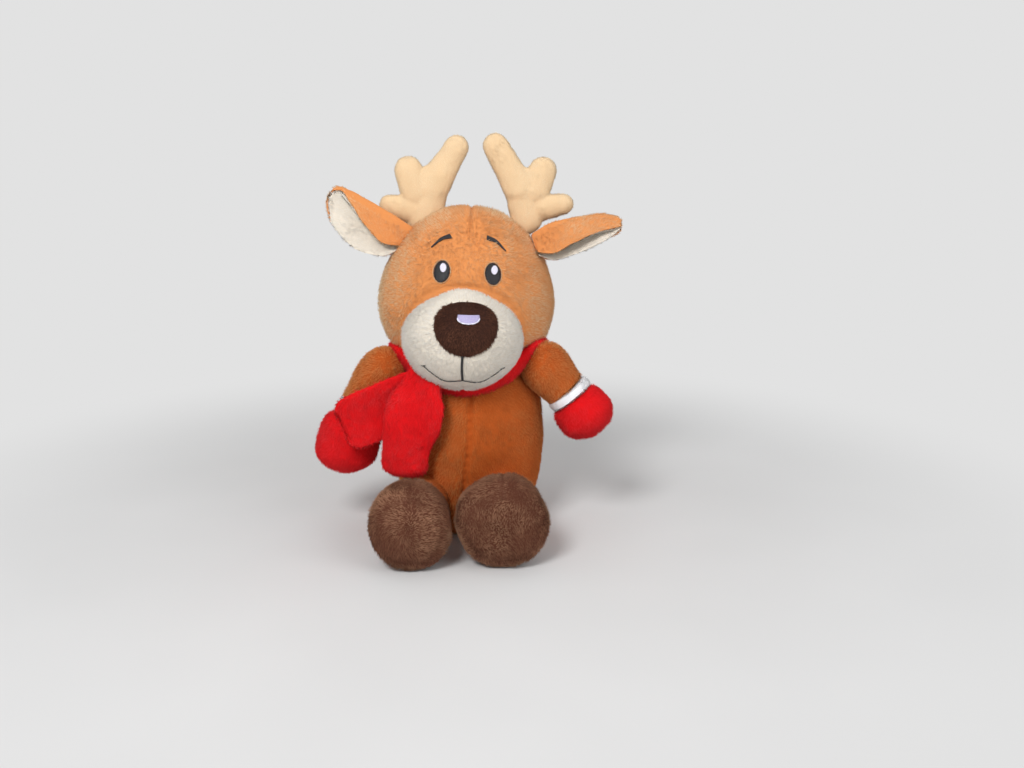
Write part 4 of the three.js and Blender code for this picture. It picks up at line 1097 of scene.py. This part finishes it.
EAR_SHARES = (0, 0.22, 0.5, 0.76, 0.93, 1)
EAR_SECTIONS = {
    "right": (
        ((-37, -3, 168), (-33, 2, 173), (-30, 0, 179.5), (-38, -7, 171)),
        ((-48, -4, 164.3), (-44, 2, 174), (-41.5, -1, 187.5), (-47, -9, 173)),
        ((-62, -4, 167.3), (-58, 2, 180), (-55, -1, 195.5), (-57.5, -9, 183)),
        ((-73.5, -4, 177.5), (-70, 1, 189), (-67, -1, 202), (-66, -7, 196.5)),
        ((-79.5, -4, 188), (-78, -1, 196), (-73.5, -2, 204), (-72, -4, 203)),
        ((-80.3, -4, 198), (-79.5, -3, 200.5), (-77.5, -3, 203), (-77, -4, 203)),
    ),
    "left": (
        ((42, -4, 164), (40, 3, 170), (38.5, 2, 176.5), (42, -9, 168)),
        ((51, -5, 161.8), (51, 3, 171), (50, 1, 183), (50, -12, 167.5)),
        ((65, -5, 165.7), (64, 4, 176), (64, 1, 186), (62, -12, 173.5)),
        ((78, -4, 171.5), (77, 3, 180), (78, 1, 188), (75, -9, 179)),
        ((87, -3, 176.5), (87, 1, 181), (88, 0, 186.5), (86, -6, 181.5)),
        ((91, -3, 180), (91, -2, 181.5), (91, -2, 183), (91, -4, 182.5)),
    ),
}


def ear_surface(side, low, high):
    """The leaf's middle surface between two shares across it."""
    sections = np.array(EAR_SECTIONS[side.name], float)
    places = np.array([0, 0.36, 0.7, 1])

    def surface(s, v):
        rows = smooth_table(s.ravel() * EAR_REACH, EAR_SHARES, sections)
        slopes = np.gradient(rows, places, axis=1)
        across = low + v.ravel() * (high - low)
        i = np.clip(np.searchsorted(places, across, side="right") - 1, 0, 2)
        h = (places[i + 1] - places[i])[:, None]
        t = ((across - places[i]) / h[:, 0])[:, None]
        k = np.arange(len(across))
        points = cubic(t, rows[k, i], rows[k, i + 1], slopes[k, i] * h, slopes[k, i + 1] * h)
        return points.reshape(s.shape + (3,))
    return surface


def ear_covers(side):
    name = side.name
    gap = side.sign * (EAR_BACK + EAR_LINING) / 2
    back = sheet_grid(ear_surface(side, 0.05, 1), EAR_BACK)
    lining = sheet_grid(ear_surface(side, 0, 0.97), EAR_LINING, gap)
    return {
        "back": cover(f"ear_back_skin_{name}", back, (0.3, 10), nap=0.2),
        "lining": cover(f"ear_lining_skin_{name}", lining, (0.3, 10), nap=0.2),
    }


def make_ear(side, covers, head):
    body, sign = f"ear_{side.name}", side.sign
    root = np.array([sign * 38, -4, 170])
    zone = ("head", root, root + (sign * 15, 0, 6))
    back, lining = covers["back"], covers["lining"]
    finish_cover(back, HEAD_CARAMEL, body, zone, 0.3, away_from(root), length=1.5, density=2.3,
                 under=[head, lining], seed=61)
    finish_cover(lining, CREAM, body, zone, 0.3, away_from(root), length=1.5, density=2.5,
                 under=[head, back], seed=62)


# Scarf: double plush cloth with soft rims

def cloth_surface(line, across, width, wave, corner=7.0):
    """A strip along a line: across gives its way across and width its width at shares of the length, and
    wave how far it stands out there. Its far corners are rounded."""
    spine, run = along_spine(line)

    def surface(s, v):
        middle, tangent = on_line(spine, run, s.ravel())
        wide = across(s.ravel())
        wide = unit(wide - tangent * (tangent * wide).sum(1, keepdims=True))
        deep = np.cross(tangent, wide)
        left = (1 - s.ravel()) * run[-1]
        half = width(s.ravel()) / 2 - corner * (1 - rounded(left, corner))
        place = 2 * v.ravel() - 1
        out = wave(s.ravel(), place)
        return (middle + wide * (half * place)[:, None] + deep * out[:, None]).reshape(s.shape + (3,))
    return surface


BAND_PATH = (
    # turn in degrees from the front, and the place there, half way up the band
    (0, 0, -38.5, 95.5), (18, 12, -37, 97.5), (34, 22, -33.5, 101.5), (50, 30, -28, 106),
    (66, 37, -21.5, 110.5), (82, 42.5, -13.5, 113.5), (98, 45, -4, 112.5), (114, 43.5, 8, 108.5),
    (130, 37, 19, 103), (148, 25, 29, 97), (164, 12, 34.5, 93.5), (180, 0, 36.5, 92.5),
)


def ring_grid():
    """The scarf round the neck: a soft folded band that hugs the head, lowest at the chin and at the back.
    Its rows run round the neck."""
    rows, columns = 260, 56
    half = np.array(BAND_PATH, float)
    other = half[-2:0:-1] * (-1, -1, 1, 1) + (360, 0, 0, 0)
    whole = np.concatenate([half, other, half[:1] + (360, 0, 0, 0)])
    turn = np.linspace(0, 360, rows, endpoint=False)
    middle = smooth_table(turn, whole[:, 0], whole[:, 1:])
    sunk = np.clip(np.where(middle[:, 0] < 0, 1, 0.35) * (np.abs(middle[:, 0]) - 16) / 24, 0, 1)
    inward = np.column_stack([np.sign(middle[:, 0]), 0 * sunk, 1 + 0 * sunk])
    middle -= sunk[:, None] * np.array(BAND_TUCK) * inward
    angle = full_turn(columns)[None, :]
    tangent = unit(np.roll(middle, -2, axis=0) - np.roll(middle, 2, axis=0))
    x, y = (middle[:, :2] / BAND_HUG).T
    out = unit(np.stack([x, y, -0.12 - 0.42 * x**2], axis=1))
    wide = unit(np.cross(out, tangent))
    out = np.cross(tangent, wide)
    wave = np.radians(turn)[:, None]
    fold = 0.5 * np.sin(7 * wave + 2 * angle) + 0.5 * np.sin(4 * wave - angle)
    thick = (BAND_DEPTH / 2 + 0.5 * fold) * squared(np.cos(angle), 0.8)
    tall = BAND_HEIGHT / 2 * squared(np.sin(angle), 0.8)
    return middle[:, None] + out[:, None] * thick[..., None] + wide[:, None] * tall[..., None]


def make_band(head, muzzle, torso, sleeves):
    grid = ring_grid()
    rows, columns = grid.shape[:2]
    i, j = np.meshgrid(np.arange(rows), np.arange(columns), indexing="ij")
    after_i, after_j = (i + 1) % rows, (j + 1) % columns
    corners = [i * columns + j, after_i * columns + j, after_i * columns + after_j, i * columns + after_j]
    faces = np.stack(corners, -1).reshape(-1, 4).tolist()
    piece = mesh_object("scarf_band_skin", grid.reshape(-1, 3), faces)
    band = dressed(piece, (0.5, 12), no_seam, 0, 0.5)
    fur = finish_cover(band, RED, "torso", None, None, towards(0, 0, -1),
                       under=[head, muzzle, torso, *sleeves], seed=81)


def make_scarf_tails():
    line = (
        (-21, -38, 106), (-24.3, -42, 96), (-26.8, -44.6, 86.5), (-29.6, -46, 77), (-32.4, -46.4, 68),
        (-34.2, -46.6, 60), (-34.9, -46.8, 52), (-34.8, -47, 44.5),
    )
    surface = cloth_surface(
        line,
        lambda s: np.column_stack([1 + 0 * s, -0.34 + 0.2 * s, 0.05 + 0 * s]),
        lambda s: smooth_table(s, (0, 0.17, 0.32, 0.46, 0.62, 0.75, 1), (22, 25, 33, 34, 31, 28.5, 28)),
        lambda s, v: 1.3 * np.sin(6 * s + 1.2 * v) - 2.4 * s * v**2 + 0.9 * np.sin(3.4 * v - 5 * s),
    )
    start, end = np.array([-29.4, -39.6, 99.7]), np.array([-29, -44, 84])
    finish_tail("front", surface, start, end)
    line = ((-24, -31, 92), (-37, -33.5, 86), (-48, -34, 80.5), (-60, -33.5, 75), (-70.5, -33, 70.5))
    surface = cloth_surface(
        line,
        lambda s: np.column_stack([0.42 - 0.2 * s, 0 * s, 0.92 + 0 * s]),
        lambda s: smooth_table(s, (0, 0.3, 0.7, 1), (27, 31, 32, 30.5)),
        lambda s, v: -4.5 * s * v**2 + 1.0 * np.sin(5 * s + v),
    )
    start = np.array([-32.5, -32.2, 89])
    finish_tail("side", surface, start, start + (-12, 0, -7))


def finish_tail(name, surface, start, end):
    grid = sheet_grid(surface, SCARF_THICKNESS, corner=0.14, edge=1.0)
    form = cover(f"scarf_{name}_skin", grid, (0.5, 11), nap=0.3)
    fur = finish_cover(form, RED, f"{name}_tail", ("torso", start, end), None, towards(0.1, 0, -1),
                       [f"scarf_{name}_tail"], density=2.0, patch=15, seed=82)


# Tail

def make_tail(torso):
    way = np.array([0, math.cos(TAIL_RISE), math.sin(TAIL_RISE)])
    root = np.array(TAIL_ROOT, float)
    profile = ((0, 6.5, 5.4), (0.4, 8, 6.4), (0.75, 8, 6.4), (1, 6.5, 5))
    line = [root - way * 6, root + way * 7, root + way * TAIL_LENGTH]
    grid = tube_grid(line, profile, (1, 0, 0), (5, 8), 50, 60)
    form = cover("tail_skin", grid, (0.5, 10), nap=0.8)
    finish_cover(form, SHADED_CARAMEL, "tail", ("torso", root, root + way * 8), 0.8, away_from(root), length=2.6,
                 density=2.2, under=[torso], seed=71)


def make_deer():
    head_grid = ball_grid((0, 0, 0), HEAD_SIZE, 120, 190, cheeks)
    head = cover("head_skin", moved(head_grid, HEAD_FRAME), (0.9, 28), head_seam, 1.2)
    muzzle_grid = ball_grid(MUZZLE_CENTRE, MUZZLE_SIZE, shape=narrow_top)
    muzzle = cover("muzzle_skin", moved(muzzle_grid, HEAD_FRAME), (0.6, 22), muzzle_seam, 1.8)
    arms = {side.name: arm_covers(side) for side in SIDES}
    legs = {side.name: leg_covers(side) for side in SIDES}
    sleeves = [covers["sleeve"] for covers in arms.values()]
    torso = make_torso(head, sleeves + [covers["leg"] for covers in legs.values()])
    for side in SIDES:
        name = side.name
        make_arm(side, arms[name], torso, head)
        make_leg(side, legs[name], torso)
        make_antler(side, antler_cover(side), head)
        make_ear(side, ear_covers(side), head)
    make_band(head, muzzle, torso, sleeves)
    make_scarf_tails()
    nose = make_head(head, muzzle)
    make_embroidery(head, muzzle, nose)
    make_tail(torso)
    for node in ("torso_filling", "head_filling", "pellet_bag"):
        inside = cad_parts[node]
        inside.data.materials.clear()
        inside.data.materials.append(FIBRE)


# Stage, light and camera

def seen_rays(tree):
    """1 for what the camera sees, directly, in a reflection or through glass, and 0 for light."""
    rays = tree.nodes.new("ShaderNodeLightPath").outputs
    seen = rays["Is Camera Ray"]
    for kind in ("Is Glossy Ray", "Is Transmission Ray"):
        seen = add_node(tree, "Math", {0: seen, 1: rays[kind]}, operation="MAXIMUM")
    return seen


def mix_shaders(tree, share, first, second, output):
    mix = add_node(tree, "MixShader", {0: share, 1: first, 2: second})
    tree.links.new(mix, tree.nodes[output].inputs["Surface"])


def make_stage():
    """A wide floor. Far from the toy, what is seen of it fades into the world's pale background."""
    ends = (-FLOOR_REACH / MM, FLOOR_REACH / MM)
    floor = mesh_object("floor", [(x, y, 0) for y in ends for x in ends], [(0, 1, 3, 2)])
    material, tree, shader = nodes_for("pale_floor")
    tone = ramp(tree, fine_noise(tree, 6, 2), linear(222, 222, 222), linear(228, 228, 228), 0.3, 0.7)
    fill_inputs(tree, shader, {"Base Color": tone, "Roughness": 0.85})
    place = add_node(tree, "TexCoord", {}, "Object")
    reach = add_node(tree, "VectorMath", {0: place}, "Value", operation="LENGTH")
    near, away = FLOOR_FADE
    fade = add_node(tree, "MapRange", {"Value": reach, "From Min": near, "From Max": away},
                    interpolation_type="SMOOTHSTEP")
    far = add_node(tree, "Math", {0: fade, 1: seen_rays(tree)}, operation="MULTIPLY")
    pale = add_node(tree, "Emission", {"Color": WHITE, "Strength": BACKGROUND})
    mix_shaders(tree, far, shader.outputs[0], pale, "Material Output")
    floor.data.materials.append(material)


def make_lights():
    for name, place, width, watts in LAMPS:
        data = bpy.data.lights.new(name, "AREA")
        data.size, data.energy = width, watts
        lamp = new_object(name, data)
        lamp.location = place
        lamp.rotation_euler = (Vector(LAMP_TARGET) - lamp.location).to_track_quat("-Z", "Y").to_euler()
    world = bpy.data.worlds.new("studio")
    bpy.context.scene.world = world
    world.use_nodes = True
    tree = world.node_tree
    light = tree.nodes["Background"]
    fill_inputs(tree, light, {"Color": WHITE, "Strength": WORLD_LIGHT})
    seen = add_node(tree, "Background", {"Color": WHITE, "Strength": BACKGROUND})
    mix_shaders(tree, seen_rays(tree), light.outputs[0], seen, "World Output")
    bpy.context.scene.view_settings.view_transform = "Standard"


def make_camera():
    data = bpy.data.cameras.new("camera")
    data.lens, data.sensor_width = FOCAL_LENGTH, SENSOR_WIDTH
    camera = new_object("camera", data)
    camera.location, camera.rotation_euler = CAMERA_PLACE, CAMERA_TURN
    bpy.context.scene.camera = camera


make_deer()
make_stage()
make_lights()
make_camera()
bpy.context.view_layer.update()
